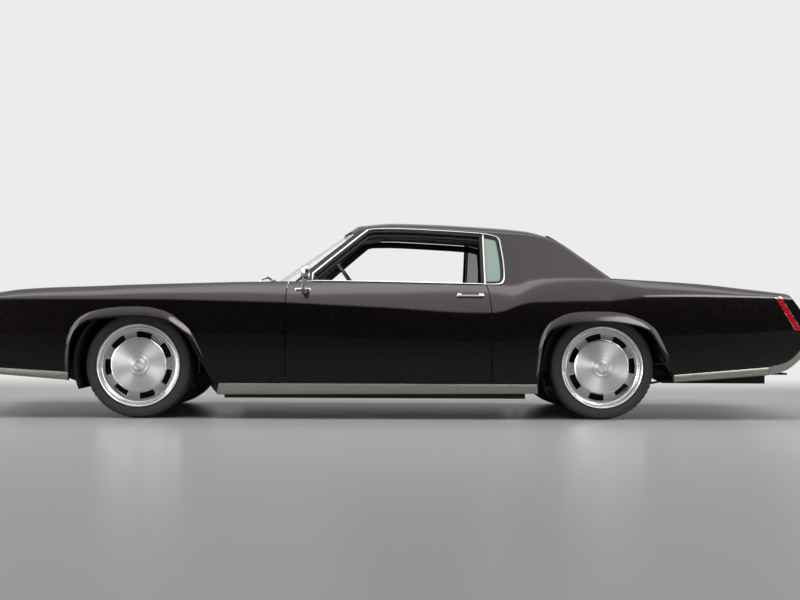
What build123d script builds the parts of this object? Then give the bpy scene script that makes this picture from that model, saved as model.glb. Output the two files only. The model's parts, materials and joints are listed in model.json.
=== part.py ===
from build123d import *
import math
import os

# Two-door hardtop coupe, left side towards -Y, front towards -X, millimetres.
# Stations are first written from the front axle, and every piece is shifted at export
# so that the origin lies on the floor under the middle of the car.

# Driving dimensions
WHEELBASE = 3048.0
NOSE_X = -1173.0
TAIL_X = 4440.0
MIDDLE_X = (NOSE_X + TAIL_X) / 2
TYRE_RADIUS = 345.0
WHEEL_Y = 785.0
SKIN = 14.0
SEAM = 6.0
FRONT_DOOR_SEAM_X = 960.0
HOOD_FRONT_X = -1098.0
HOOD_REAR_X = 700.0
HOOD_RISE = 17.0
DECK_FRONT_X = 3345.0
DECK_REAR_X = 4278.0
DECK_RISE = 8.0
LID_HALF = 784.0
FLOOR_Z = 203.0
AXLE_FLOOR_X = 2604.0
BOOT_FLOOR_X = 3420.0
AXLE_Z = TYRE_RADIUS
HOUSE_RADIUS = 402.0
FRONT_HOUSE_Y = 470.0
REAR_HOUSE_Y = 600.0
FRAME_NOSE_X = -1060.0
FRAME_NOSE_Z = 268.0
FRAME_TAIL_X = 4250.0
PIPE_Y = 270.0
PIPE_Z = 157.0
TAIL_PIPE_X = 2720.0
KINGPIN_Y = 740.0
PIN_RADIUS = 9.0
SPINDLE_RADIUS = 24.0
SLOTS = 7
SLOT_START = 9.5
STEER_HUB = (1410.0, -380.0, 872.0)
STEER_RADIUS = 200.0
STEER_TILT = math.radians(35.5)
GRILLE_HALF = 800.0
GRILLE_LOW_Z = 470.0
GRILLE_TOP_Z = 735.0
GRILLE_ROWS = 9
GRILLE_COLUMNS = 40
STATIONS = [
    NOSE_X, -1050, -906, -700, -450, -150, 150, 450, 780, 1130, 1500, 1900, 2200,
    2330, 2410, 2490, 2570, 2680, 2860, 3080, 3330, 3680, 4030, 4200, 4320, TAIL_X,
]


# Curves along the car

def along(points):
    """A smooth function through (x, value) points that never overshoots them."""
    xs = [p[0] for p in points]
    ys = [p[1] for p in points]
    steps = [(ys[i + 1] - ys[i]) / (xs[i + 1] - xs[i]) for i in range(len(xs) - 1)]
    slopes = [steps[0]]
    for before, after in zip(steps, steps[1:]):
        slopes.append(0.0 if before * after <= 0 else 2 * before * after / (before + after))
    slopes.append(steps[-1])

    def value(x):
        if x <= xs[0]:
            return ys[0] + slopes[0] * (x - xs[0])
        if x >= xs[-1]:
            return ys[-1] + slopes[-1] * (x - xs[-1])
        i = max(k for k in range(len(xs) - 1) if xs[k] <= x)
        width = xs[i + 1] - xs[i]
        t = (x - xs[i]) / width
        return (
            ys[i] * (1 + 2 * t) * (1 - t) ** 2
            + slopes[i] * width * t * (1 - t) ** 2
            + ys[i + 1] * t * t * (3 - 2 * t)
            + slopes[i + 1] * width * t * t * (t - 1)
        )

    return value


PEAK_Z = along([
    (NOSE_X, 797), (-906, 819), (-788, 836), (-578, 851), (-322, 861), (-52, 873), (276, 884),
    (781, 899), (1130, 904), (2239, 890), (2410, 888), (2500, 903), (2580, 926), (2690, 938),
    (2862, 940), (3079, 936), (3328, 923), (3683, 902), (4031, 867), (4254, 843), (TAIL_X, 822),
])
PEAK_Y = along([
    (NOSE_X, 868), (-906, 880), (0, 880), (780, 862), (1130, 848), (2300, 846), (2410, 850),
    (2580, 862), (3080, 878), (3680, 880), (4254, 872), (TAIL_X, 866),
])
CREASE_Z = along([
    (NOSE_X, 770), (-578, 773), (144, 775), (407, 771), (670, 766), (965, 760), (1313, 744),
    (1628, 730), (1956, 709), (2150, 700), (2311, 700), (2390, 712), (2462, 740), (2508, 757),
    (2587, 771), (2777, 776), (3092, 782), (3210, 797), (3328, 811), (3683, 817), (4149, 815),
    (TAIL_X, 796),
])
CREASE_Y = along([
    (NOSE_X, 930), (-906, 950), (-450, 965), (0, 972), (965, 976), (1628, 976), (2311, 978),
    (2587, 974), (2777, 972), (3092, 970), (3683, 956), (4149, 934), (TAIL_X, 912),
])
WAIST_Y = along([
    (NOSE_X, 938), (-906, 966), (-450, 980), (0, 985), (965, 988), (2311, 990), (2777, 992),
    (3092, 990), (3683, 974), (4149, 948), (TAIL_X, 922),
])
HEM_Y = along([
    (NOSE_X, 905), (-906, 930), (-450, 948), (0, 955), (965, 958), (2311, 960), (2777, 962),
    (3092, 960), (3683, 938), (4149, 905), (TAIL_X, 870),
])
WAIST_Z = 532.0
HEM_Z = 215.0
FLANGE_Y = 790.0
ENVELOPE_LOW_Z = 120.0


def flange_z(x):
    """Height of the panel flange just inboard of the fender peak."""
    return PEAK_Z(x) - 9


# Solid helpers

def side_prism(outline, y0, y1):
    """A side-view outline of (x, z) points, pushed through from y0 to y1."""
    face = make_face(Polyline(*[(x, y0, z) for x, z in outline], close=True))
    return extrude(face, amount=y1 - y0, dir=(0, 1, 0))


def plan_prism(outline, z0, z1):
    """A top-view outline of (x, y) points, pushed up from z0 to z1."""
    face = make_face(Polyline(*[(x, y, z0) for x, y in outline], close=True))
    return extrude(face, amount=z1 - z0, dir=(0, 0, 1))


def post(x, y, z0, z1, radius):
    """An upright round piece."""
    lift = Align.CENTER, Align.CENTER, Align.MIN
    return Pos(x, y, z0) * Cylinder(radius, z1 - z0, align=lift)


def pin(x, y, z0, z1, radius):
    """A small upright pin, drawn with twelve flats."""
    return Pos(x, y, z0) * extrude(RegularPolygon(radius, 12), amount=z1 - z0)


def cross_bar(x, z, y0, y1, radius):
    """A round bar across the car."""
    lift = Align.CENTER, Align.CENTER, Align.MIN
    return Pos(x, y0, z) * Rot(-90, 0, 0) * Cylinder(radius, y1 - y0, align=lift)


def cross_shaft(x, z, y0, y1, radius):
    """A slim bar across the car, drawn with twelve flats."""
    return Pos(x, y0, z) * Rot(-90, 0, 0) * extrude(RegularPolygon(radius, 12), amount=y1 - y0)


def block(x0, x1, y0, y1, z0, z1):
    """A box given by its limits."""
    centre = Pos((x0 + x1) / 2, (y0 + y1) / 2, (z0 + z1) / 2)
    return centre * Box(x1 - x0, y1 - y0, z1 - z0)


def other_side(shape):
    """The same piece on the other side of the car."""
    return mirror(shape, about=Plane.XZ)


def both_sides(shape):
    """A piece and its mirror image as one shape."""
    return Compound(children=[*shape.solids(), *other_side(shape).solids()])


# Side skin, right-hand side

def outer_points(x):
    """The corners of the outer body section at one station, from the top inwards."""
    return (
        Vector(x, FLANGE_Y, flange_z(x)),
        Vector(x, PEAK_Y(x), PEAK_Z(x)),
        Vector(x, CREASE_Y(x), CREASE_Z(x)),
        Vector(x, WAIST_Y(x), WAIST_Z),
        Vector(x, HEM_Y(x), HEM_Z),
    )


def shoulder_middle(x, inset=0.0):
    """The crown of the shoulder between the peak and the crease."""
    crown = 7.0
    y = (PEAK_Y(x) + CREASE_Y(x)) / 2 + crown - inset
    return Vector(x, y, (PEAK_Z(x) + CREASE_Z(x)) / 2 + crown * 0.6)


def skin_section(x):
    """The closed section of the thin side skin at one station."""
    flange, peak, crease, waist, hem = outer_points(x)
    crease_in = crease + Vector(0, -SKIN, -2)
    peak_in = peak + Vector(0, -SKIN * 0.9, -SKIN * 0.7)
    flange_in = flange + Vector(0, 0, -SKIN * 0.7)
    waist_in = waist + Vector(0, -SKIN, 0)
    hem_in = hem + Vector(0, -SKIN, 0)
    return Wire([
        Line(flange, peak),
        ThreePointArc(peak, shoulder_middle(x), crease),
        ThreePointArc(crease, waist, hem),
        Line(hem, hem_in),
        ThreePointArc(hem_in, waist_in, crease_in),
        ThreePointArc(crease_in, shoulder_middle(x, SKIN), peak_in),
        Line(peak_in, flange_in),
        Line(flange_in, flange),
    ])


def door_section(x):
    """The closed section of the thick door body at one station."""
    flange, peak, crease, waist, hem = outer_points(x)
    trim_top = Vector(x, 760, flange_z(x))
    trim_low = Vector(x, 850, HEM_Z)
    return Wire([
        Line(flange, peak),
        ThreePointArc(peak, shoulder_middle(x), crease),
        ThreePointArc(crease, waist, hem),
        Line(hem, trim_low),
        Line(trim_low, trim_top),
        Line(trim_top, flange),
    ])


def envelope_section(x, inset):
    """The closed half section of everything inside the skin, inset from its outer surface."""
    flange, peak, crease, waist, hem = outer_points(x)
    depth = inset / SKIN
    peak = peak + Vector(0, -12.6, -9.8) * depth
    crease = crease + Vector(0, -14, -2) * depth
    waist = waist + Vector(0, -14, 0) * depth
    hem = hem + Vector(0, -14, 0) * depth
    low = Vector(x, hem.Y, ENVELOPE_LOW_Z)
    low_middle = Vector(x, 0, ENVELOPE_LOW_Z)
    top_middle = Vector(x, 0, peak.Z + 14)
    return Wire([
        Line(low_middle, low),
        Line(low, hem),
        ThreePointArc(hem, waist, crease),
        ThreePointArc(crease, shoulder_middle(x, inset), peak),
        Line(peak, top_middle),
        Line(top_middle, low_middle),
    ])


def envelope(inset):
    """The right half of the car's inside, used to trim what meets the skin."""
    return Solid.make_loft([envelope_section(x, inset) for x in STATIONS])


def side_skin():
    """The whole side skin from nose to tail, before it is cut into panels."""
    return Solid.make_loft([skin_section(x) for x in STATIONS])


def door_blank():
    """The door's full thickness, before it is cut to the door's outline."""
    return Solid.make_loft([door_section(x) for x in STATIONS])


# Wheel arches: the opening's edge and the outer edge of its flared lip, as (x, z) points

FRONT_ARCH = [
    (-443, 247), (-437, 330), (-431, 450), (-413, 530), (-384, 580), (-320, 626), (-203, 648),
    (-80, 656), (32, 657), (120, 648), (184, 634), (240, 606), (289, 571), (337, 520),
    (430, 350), (530, 168),
]
FRONT_LIP = [
    (-462, 330), (-459, 450), (-440, 545), (-402, 620), (-331, 678), (-225, 712), (-90, 727),
    (40, 728), (120, 717), (205, 690), (266, 650), (320, 603), (368, 540), (448, 372),
]
REAR_ARCH = [
    (2613, 184), (2624, 330), (2637, 465), (2655, 530), (2680, 570), (2718, 597), (2800, 618),
    (2900, 630), (3033, 635), (3164, 630), (3250, 618), (3315, 596), (3368, 546), (3446, 405),
    (3525, 250),
]
REAR_LIP = [
    (2603, 330), (2614, 470), (2634, 552), (2670, 616), (2712, 655), (2790, 694), (2890, 711),
    (3030, 714), (3160, 705), (3255, 678), (3335, 638), (3395, 583), (3466, 443),
]
LIP_OUT = 20.0
LIP_ROOT = 5.0


def skin_y(x, z):
    """How far out the side skin stands at a station and a height below the crease."""
    y1, z1 = CREASE_Y(x), CREASE_Z(x)
    y2, z2 = WAIST_Y(x), WAIST_Z
    y3, z3 = HEM_Y(x), HEM_Z
    slope = (y2 - y1) / (z2 - z1)
    bend = ((y3 - y1) / (z3 - z1) - slope) / (z3 - z2)
    return y1 + slope * (z - z1) + bend * (z - z1) * (z - z2)


def arch_cutter(edge):
    """The space of a wheel arch through the side skin, open at the bottom."""
    curve = Spline(*[(x, 700, z) for x, z in edge])
    low_rear = (edge[-1][0] + 60, 700, 60)
    low_front = (edge[0][0] + 10, 700, 60)
    rim = Polyline(curve @ 1, low_rear, low_front, curve @ 0)
    return extrude(make_face([curve, *rim.edges()]), amount=500, dir=(0, 1, 0))


def nearest_on(edge, x, z):
    """The nearest point of an arch's edge, taken along its straight pieces."""
    best = None
    for (x0, z0), (x1, z1) in zip(edge, edge[1:]):
        length2 = (x1 - x0) ** 2 + (z1 - z0) ** 2
        t = max(0.0, min(1.0, ((x - x0) * (x1 - x0) + (z - z0) * (z1 - z0)) / length2))
        px, pz = x0 + t * (x1 - x0), z0 + t * (z1 - z0)
        gap = math.hypot(px - x, pz - z)
        if best is None or gap < best[0]:
            best = (gap, px, pz)
    return best[1], best[2]


def arch_flare(edge, lip):
    """The rolled lip round a wheel arch, thickest at the opening and fading into the skin."""
    sections = []
    last = len(lip) - 1
    for i, (x, z) in enumerate(lip):
        swell = math.sin(math.pi * i / last) ** 0.6 if 0 < i < last else 0.0
        ex, ez = nearest_on(edge, x, z)
        dx, dz = (ex - x) * 0.25, (ez - z) * 0.25
        rise = LIP_OUT * swell - 3 * (1 - swell)
        root = Vector(x, skin_y(x, z) - LIP_ROOT, z)
        tip = Vector(ex + dx, skin_y(ex, ez) + rise, ez + dz)
        inner = Vector(ex + dx, skin_y(ex, ez) - LIP_ROOT - 3, ez + dz)
        sections.append(Wire(Polyline(root, tip, inner, close=True).edges()))
    return Solid.make_loft(sections, ruled=True)


# Greenhouse

GLASS_FOOT_Z = 880.0
GLASS_HEAD_Z = 1262.0
GLASS_TOP_Z = 1345.0
ROOF_WALL = 26.0
CROWN_Z = along([
    (700, 1200), (1344, 1283), (1450, 1300), (1683, 1320), (1934, 1318), (2246, 1304),
    (2584, 1279), (2743, 1250), (2776, 1240), (3500, 1010),
])
CROWN_DROP = 91.0
WINDOW = [
    (1136, 860), (1133, 950), (1480, 1238), (1510, 1254), (1557, 1262), (1738, 1263), (2104, 1246),
    (2273, 1234), (2388, 1213), (2406, 1098), (2413, 973), (2402, 918), (2372, 895), (2330, 860),
]
WINDOW_TRIM = [
    (1120, 860), (1118, 958), (1472, 1252), (1505, 1267), (1555, 1274), (1738, 1275), (2105, 1258),
    (2275, 1246), (2399, 1224), (2418, 1098), (2425, 973), (2413, 912), (2379, 887), (2340, 855),
]


def ring_at(z, inset):
    """The closed plan outline of the greenhouse at a height, moved inwards by the inset."""
    share = (z - GLASS_FOOT_Z) / (GLASS_HEAD_Z - GLASS_FOOT_Z)
    front, rear, side = inset * 1.7, inset * 1.55, inset * 1.14

    def mix(foot, head):
        return foot + (head - foot) * share

    corner_f = (mix(919, 1414) + front, mix(826, 618) - side)
    middle_f = mix(789, 1344) + front
    waist_p = (2000, mix(842, 632) - side)
    corner_r = (mix(3218, 2706) - rear, mix(770, 590) - side)
    middle_r = mix(3288, 2776) - rear

    def at(x, y):
        return Vector(x, y, z)

    return Wire([
        ThreePointArc(at(corner_f[0], -corner_f[1]), at(middle_f, 0), at(*corner_f)),
        ThreePointArc(at(*corner_f), at(*waist_p), at(*corner_r)),
        ThreePointArc(at(*corner_r), at(middle_r, 0), at(corner_r[0], -corner_r[1])),
        ThreePointArc(
            at(corner_r[0], -corner_r[1]), at(waist_p[0], -waist_p[1]),
            at(corner_f[0], -corner_f[1]),
        ),
    ])


def crown_section(x, inset):
    """The section under the roof's crown at one station."""
    half, drop, top = 900, CROWN_DROP, CROWN_Z(x) - inset
    left, right = Vector(x, -half, top - drop), Vector(x, half, top - drop)
    low_left, low_right = Vector(x, -half, 700), Vector(x, half, 700)
    return Wire([
        ThreePointArc(left, Vector(x, 0, top), right),
        Line(right, low_right),
        Line(low_right, low_left),
        Line(low_left, left),
    ])


def greenhouse(inset):
    """The closed space of glass, pillars and roof above the beltline."""
    cone = Solid.make_loft([ring_at(GLASS_FOOT_Z, inset), ring_at(GLASS_TOP_Z, inset)], ruled=True)
    crown = Solid.make_loft([crown_section(700 + 280 * i, inset) for i in range(11)])
    return cone & crown


def pane_prism(bottom_z, top_z, margin, x0, x1):
    """The outline of a front or rear window, seen along the car, pushed from x0 to x1."""
    def half(z):
        share = (z - GLASS_FOOT_Z) / (GLASS_HEAD_Z - GLASS_FOOT_Z)
        if x0 < 2000:
            return 826 + (618 - 826) * share - margin
        return 770 + (590 - 770) * share - margin

    face = make_face(Polyline(
        (x0, -half(bottom_z), bottom_z), (x0, half(bottom_z), bottom_z),
        (x0, half(top_z), top_z), (x0, -half(top_z), top_z), close=True,
    ))
    return extrude(face, amount=x1 - x0, dir=(1, 0, 0))


def window_prism(outline):
    """A side window's outline pushed through both sides, but not through the middle."""
    right = side_prism(outline, 480, 1000)
    return both_sides(right)


# Body panels

def both_as_parts(name, shape):
    """A right-hand piece and its mirror image as a pair of named nodes."""
    return {f"{name}_right": shape, f"{name}_left": other_side(shape)}


def front_fenders(skin, house):
    """Front fenders: skin, wheel opening and flared lip, with the blade at the nose."""
    outline = [
        (957, 233), (957, 787), (963, 860), (975, 919), (975, 960), (NOSE_X - 5, 960),
        (NOSE_X, 790), (-1152, 600), (-1128, 440), (-1110, 400), (-1060, 350), (-897, 342),
        (-897, 325), (-443, 300), (-300, 233),
    ]
    panel = (skin & side_prism(outline, 600, 1100)) - arch_cutter(FRONT_ARCH)
    panel = panel + (arch_flare(FRONT_ARCH, FRONT_LIP) - arch_cutter(FRONT_ARCH))
    return both_as_parts("front_fender", panel - house)


def doors():
    """Doors as thick as the real ones, with the cut line of their front and rear seams."""
    outline = [
        (963, 238), (963, 787), (969, 860), (981, 919), (981, 960), (2276, 960), (2280, 882),
        (2295, 842), (2299, 790), (2305, 698), (2305, 238),
    ]
    return both_as_parts("door", door_blank() & side_prism(outline, 600, 1100))


LAMP = [(4189, 818), (4228, 818), (4360, 598), (4320, 598)]
TAIL_EDGE = [(4254, 845), (4290, 831), (4346, 755), (4440, 610)]
BUMPER_TOP = [(4149, 355), (4266, 385), (4346, 450), (4400, 520), (4436, 600)]
BUMPER_LOW = [(4149, 300), (4266, 332), (4346, 392), (4408, 456), (4440, 520)]


def quarter_panels(skin, house):
    """Rear quarters: hip, wheel opening, flared lip and the blade that carries the lamp."""
    outline = [(2311, 233), (2311, 698), (2305, 790), (2301, 842), (2286, 882), (2282, 1000)]
    outline += [(4200, 1000), *TAIL_EDGE, *reversed(BUMPER_TOP)]
    outline += [(4149, 350), (3510, 299), (3000, 233)]
    panel = (skin & side_prism(outline, 600, 1100)) - arch_cutter(REAR_ARCH)
    panel = panel + (arch_flare(REAR_ARCH, REAR_LIP) - arch_cutter(REAR_ARCH))
    panel = panel - house - side_prism(LAMP, 600, 1100)
    return both_as_parts("quarter_panel", panel)


def tail_lamps(skin):
    """The slanted lamps let into the ends of the rear blades."""
    lens = skin & side_prism(LAMP, 600, 1100)
    return {"tail_lamps": both_sides(lens)}


def top_panel(x0, x1, half, rise, thickness):
    """A crowned sheet between the fenders, from one station to another."""
    def section(x):
        edge = flange_z(x)
        left, right = Vector(x, -half, edge), Vector(x, half, edge)
        down = Vector(0, 0, -thickness)
        middle = Vector(x, 0, edge + rise)
        return Wire([
            ThreePointArc(left, middle, right),
            Line(right, right + down),
            ThreePointArc(right + down, middle + down, left + down),
            Line(left + down, left),
        ])

    count = max(2, round((x1 - x0) / 230))
    stations = [x0 + (x1 - x0) * i / count for i in range(count + 1)]
    return Solid.make_loft([section(x) for x in stations])


def hood():
    """The long hood with its turned-down rim."""
    sheet = top_panel(HOOD_FRONT_X, HOOD_REAR_X - SEAM / 2, LID_HALF, HOOD_RISE, 16)
    return {"hood": sheet}


def deck_lid():
    """The boot lid."""
    sheet = top_panel(DECK_FRONT_X + SEAM / 2, DECK_REAR_X, LID_HALF, DECK_RISE, 16)
    return {"deck_lid": sheet}


def cowl(house):
    """The panel between hood and windshield, the plenum under it and the firewall."""
    top = top_panel(HOOD_REAR_X + SEAM / 2, FRONT_DOOR_SEAM_X - 3, FLANGE_Y, HOOD_RISE, 14)
    lip = block(HOOD_REAR_X + 3, HOOD_REAR_X + 15, -740, 740, 848, 884)
    shelf = block(600, HOOD_REAR_X + 15, -740, 740, 848, 860)
    wall = block(600, 612, -740, 740, FLOOR_Z, 850)
    return {"cowl": (top + lip + shelf + wall) - house}


def rear_shelf(house):
    """The panel between backlight and boot lid, with the parcel shelf under the glass."""
    top = top_panel(3150, DECK_FRONT_X - SEAM / 2, FLANGE_Y, DECK_RISE, 14) - house
    wall = block(DECK_FRONT_X - 15, DECK_FRONT_X - 3, -700, 700, 868, 918)
    shelf = block(3080, DECK_FRONT_X - 3, -560, 560, 868, 880)
    return {"rear_shelf": top + (wall + shelf)}


def roof(outer, inner):
    """The roof with its windshield pillars and broad rear pillars, all windows cut."""
    shell = outer - inner
    shell -= block(600, 3500, -950, 950, 700, 882)
    shell -= block(969, 2318, -950, 950, 870, 912)
    shell -= pane_prism(860, 1240, 48, 600, 1500)
    shell -= pane_prism(860, 1236, 60, 2650, 3400)
    return {"roof": shell - window_prism(WINDOW)}


def glass():
    """Windshield, backlight and the small fixed quarter windows."""
    pane = greenhouse(8) - greenhouse(13)
    pane -= block(600, 3500, -950, 950, 700, 896)
    side = [(2292, 860), (2292, 1300), (2500, 1300), (2500, 860)]
    return {
        "windshield": pane & pane_prism(860, 1240, 48, 600, 1500),
        "backlight": pane & pane_prism(860, 1236, 60, 2650, 3400),
        "quarter_glass": pane & window_prism(WINDOW) & both_sides(side_prism(side, 480, 1000)),
    }


def window_mouldings(outer):
    """The bright moulding over and behind the side windows."""
    band = greenhouse(-5) - outer
    band -= block(600, 3500, -950, 950, 700, 915)
    ring = side_prism(WINDOW_TRIM, 480, 1000) - side_prism(WINDOW, 400, 1100)
    return {"window_mouldings": both_sides(band & ring)}


# Ends

def end_bumper(outline, inner_x, face):
    """A wrap-round bumper from its side profile, open inside."""
    bar = face & side_prism(outline, -5, 1100)
    bar -= block(*inner_x, -5, 880, 200, 700)
    return (bar + other_side(bar))


def front_bumper(face):
    """The front bumper, which turns the corners into thin side strips."""
    outline = [
        (-897, 342), (-1060, 350), (-1110, 400), (-1128, 440), (-1173, 440), (-1173, 330),
        (-1150, 300), (-1060, 288), (-897, 290),
    ]
    return {"front_bumper": end_bumper(outline, (-1105, -890), face)}


def rear_bumper(face):
    """The rear bumper, swept up at the tail."""
    return {"rear_bumper": end_bumper([*BUMPER_TOP, *reversed(BUMPER_LOW)], (4140, 4340), face)}


def tail_panel(inner):
    """The wall across the tail between the blades."""
    outline = [
        (4296, 816), (4340, 755), (4422, 612), (4418, 604), (4398, 604), (4322, 742), (4292, 784),
        (4280, 816),
    ]
    wall = inner & side_prism(outline, -5, 1100)
    return {"tail_panel": wall + other_side(wall)}


def grille(inner):
    """The egg-crate grille and the surround that closes the nose."""
    outline = [(-1160, 770), (-1140, 600), (-1128, 441), (-1098, 441), (-1104, 770)]
    surround = inner & side_prism(outline, -5, 1100)
    surround -= block(-1200, -1050, -5, GRILLE_HALF, GRILLE_LOW_Z, GRILLE_TOP_Z)
    frame = surround + other_side(surround)
    bars = []
    for i in range(1, GRILLE_ROWS):
        z = GRILLE_LOW_Z + (GRILLE_TOP_Z - GRILLE_LOW_Z) * i / GRILLE_ROWS
        bars.append(block(-1132, -1122, -GRILLE_HALF - 1, GRILLE_HALF + 1, z - 2.5, z + 2.5))
    for i in range(1, GRILLE_COLUMNS):
        y = -GRILLE_HALF + 2 * GRILLE_HALF * i / GRILLE_COLUMNS
        bars.append(block(-1118, -1108, y - 2.5, y + 2.5, GRILLE_LOW_Z - 1, GRILLE_TOP_Z + 1))
    return {"grille": frame + bars}


# Underside

def frame_rails():
    """The perimeter frame with its kick-up over the rear axle."""
    side = block(560, 2540, 764, 880, 134, 190)
    torque_box = block(560, 660, 400, 880, 134, 190)
    front = side_prism(
        [(FRAME_NOSE_X, FRAME_NOSE_Z), (-620, FRAME_NOSE_Z), (-440, 200), (440, 200), (560, 134),
         (660, 134), (660, 190), (590, 190), (470, 280), (-420, 280), (-600, FRAME_NOSE_Z + 76),
         (FRAME_NOSE_X, FRAME_NOSE_Z + 76)], 400, 460,
    )
    tower = block(-60, -24, 400, 460, 270, 500) + block(24, 60, 400, 460, 270, 500)
    outrigger = block(2470, 2540, 440, 880, 134, 190)
    rear = side_prism(
        [(2470, 134), (2540, 134), (2640, 296), (3400, 296), (3540, 226), (FRAME_TAIL_X, 226),
         (FRAME_TAIL_X, 300), (3560, 300), (3420, 368), (2604, 368), (2500, 190), (2470, 190)],
        440, 520,
    )
    rail = side + torque_box + front + tower + outrigger + rear
    members = [
        block(FRAME_NOSE_X, FRAME_NOSE_X + 60, -410, 410, FRAME_NOSE_Z, FRAME_NOSE_Z + 76),
        block(-90, 90, -410, 410, 140, 195),
        block(560, 660, -410, 410, 134, 190),
        block(2470, 2540, -450, 450, 134, 190),
        block(FRAME_TAIL_X - 60, FRAME_TAIL_X, -450, 450, 226, 300),
    ]
    half = rail + block(-90, 90, 395, 460, 140, 210)
    frame = half + other_side(half) + members
    notch = block(550, 2560, PIPE_Y - 28, PIPE_Y + 28, 130, 184)
    return {"frame_rails": frame - notch - other_side(notch)}


def floor_pan(inner):
    """Cabin floor with its sills and heel board, the floor over the axle, and the boot floor."""
    cabin = side_prism(
        [(612, 190), (2490, 190), (AXLE_FLOOR_X, 368), (AXLE_FLOOR_X, 380), (2597, 380), (2483, 202),
         (612, 202)], -5, 596,
    )
    cabin += block(612, 2483, 590, 893, 190, 202)
    cabin += block(560, 2590, 756, 893, 190, 228)
    boot = side_prism(
        [(BOOT_FLOOR_X, 368), (3560, 300), (4290, 300), (4290, 312), (3563, 312), (3423, 380),
         (BOOT_FLOOR_X, 380)], -5, 596,
    )
    boot += inner & side_prism([(3560, 300), (4290, 300), (4290, 312), (3560, 312)], 590, 870)
    return {
        "floor_pan": cabin + other_side(cabin),
        "axle_floor": block(AXLE_FLOOR_X, BOOT_FLOOR_X, -596, 596, 368, 380),
        "boot_floor": boot + other_side(boot),
    }


def wheelhouses(inner):
    """The curved inner fenders over each wheel."""
    def house(axle_x, wall_y, low_z):
        drum = cross_bar(axle_x, AXLE_Z, 0, 1000, HOUSE_RADIUS + 6)
        hollow = cross_bar(axle_x, AXLE_Z, 0, 1000, HOUSE_RADIUS)
        shell = drum - (hollow - block(axle_x - 500, axle_x + 500, -1, wall_y + 6, 0, 900))
        shell &= block(axle_x - 500, axle_x + 500, wall_y, 1000, low_z, 900)
        return shell - block(axle_x - 340, axle_x + 340, 0, wall_y + 10, 0, 520)

    front = house(0, FRONT_HOUSE_Y, 300)
    rear = house(WHEELBASE, REAR_HOUSE_Y, 384)
    right = (front & inner).solids() + (rear & inner).solids()
    left = [s for piece in right for s in other_side(piece).solids()]
    return {"wheelhouses": Compound(children=[*right, *left])}


def engine():
    """Engine, gearbox and final drive as one plain block."""
    blocks = [
        block(-420, 300, -250, 250, 330, 720),
        block(-300, 220, -150, 150, 215, 335),
        block(220, 560, -230, 60, 250, 440),
        post(-60, 0, 720, 790, 190),
        cross_bar(0, AXLE_Z, -330, 330, 85),
    ]
    power = blocks[0]
    for piece in blocks[1:]:
        power += piece
    return {"engine": power}


def exhaust():
    """Two pipes with silencers, over the rear axle and out beside the tank."""
    route = [(330, PIPE_Y, 300), (450, PIPE_Y, PIPE_Z), (2560, PIPE_Y, PIPE_Z), (2720, 330, 328),
             (3330, 330, 328), (3540, 345, 272), (3900, 345, 272)]
    path = Polyline(*route)
    section = Plane(origin=path @ 0, z_dir=path % 0) * RegularPolygon(22, 10)
    pipe = sweep(section, path=path, transition=Transition.RIGHT)
    silencer = Pos(1650, PIPE_Y, PIPE_Z) * Rot(0, 90, 0)
    silencer = silencer * extrude(Ellipse(24, 90), amount=250, both=True)
    run = pipe + silencer
    return {
        "exhaust": both_sides(run & block(300, TAIL_PIPE_X, 100, 500, 50, 500)),
        "tail_pipes": both_sides(run & block(TAIL_PIPE_X, 3950, 100, 500, 50, 500)),
    }


def fuel_tank():
    """The flat fuel tank under the boot floor, swept up towards the tail."""
    tank = side_prism([(3600, 232), (3880, 248), (4120, 272), (4120, 298), (3600, 298)], -290, 290)
    return {"fuel_tank": tank}


def front_suspension():
    """Upper and lower control arms and the drive shafts."""
    def arm(z0, z1, half_root, pin_z):
        shape = plan_prism([(-half_root, 460), (half_root, 460), (24, 745), (-24, 745)], z0, z1)
        shape += pin(0, KINGPIN_Y, z0, z1, 24)
        low, high = sorted((pin_z, (z0 + z1) / 2))
        return shape + pin(0, KINGPIN_Y, low, high, PIN_RADIUS)

    lower = arm(212, 230, 105, 256)
    upper = arm(474, 492, 58, 449)
    shaft = cross_shaft(0, AXLE_Z, 331, 676, 17)
    right = [lower, upper, shaft]
    return {"front_suspension": Compound(children=[*right, *[other_side(s) for s in right]])}


def knuckles():
    """Steering knuckles with their spindles, turned about the kingpin line."""
    web = block(-30, 30, 700, 720, 236, 468)
    shape = web + cross_shaft(0, AXLE_Z, 700, 766, 52)
    shape += cross_bar(0, AXLE_Z, 760, 845, SPINDLE_RADIUS)
    for z0, z1 in ((236, 258), (447, 468)):
        shape += pin(0, KINGPIN_Y, z0, z1, 24) + block(-20, 20, 705, KINGPIN_Y, z0, z1)
        shape -= pin(0, KINGPIN_Y, z0 - 1, z1 + 1, PIN_RADIUS + 0.5)
    return both_as_parts("knuckle", shape)


def rear_axle():
    """The dropped beam axle on its single leaf springs."""
    beam = cross_shaft(WHEELBASE, 235, 0, 565, 38)
    upright = block(WHEELBASE - 45, WHEELBASE + 45, 555, 600, 200, 362)
    hub = cross_shaft(WHEELBASE, AXLE_Z, 600, 655, 70)
    hub += cross_bar(WHEELBASE, AXLE_Z, 650, 845, SPINDLE_RADIUS)
    top = ThreePointArc((2570, 530, 236), (WHEELBASE, 530, 197), (3700, 530, 290))
    low = ThreePointArc((3700, 530, 280), (WHEELBASE, 530, 187), (2570, 530, 226))
    rim = [top, Line(top @ 1, low @ 0), low, Line(low @ 1, top @ 0)]
    leaf = extrude(make_face(rim), amount=60, dir=(0, 1, 0))
    hanger = block(3670, 3710, 520, 560, 270, 295)
    eye = block(2555, 2595, 520, 560, 205, 245)
    half = beam + upright + hub + leaf + hanger + eye
    return {"rear_axle": half + other_side(half)}


# Wheels

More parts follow.
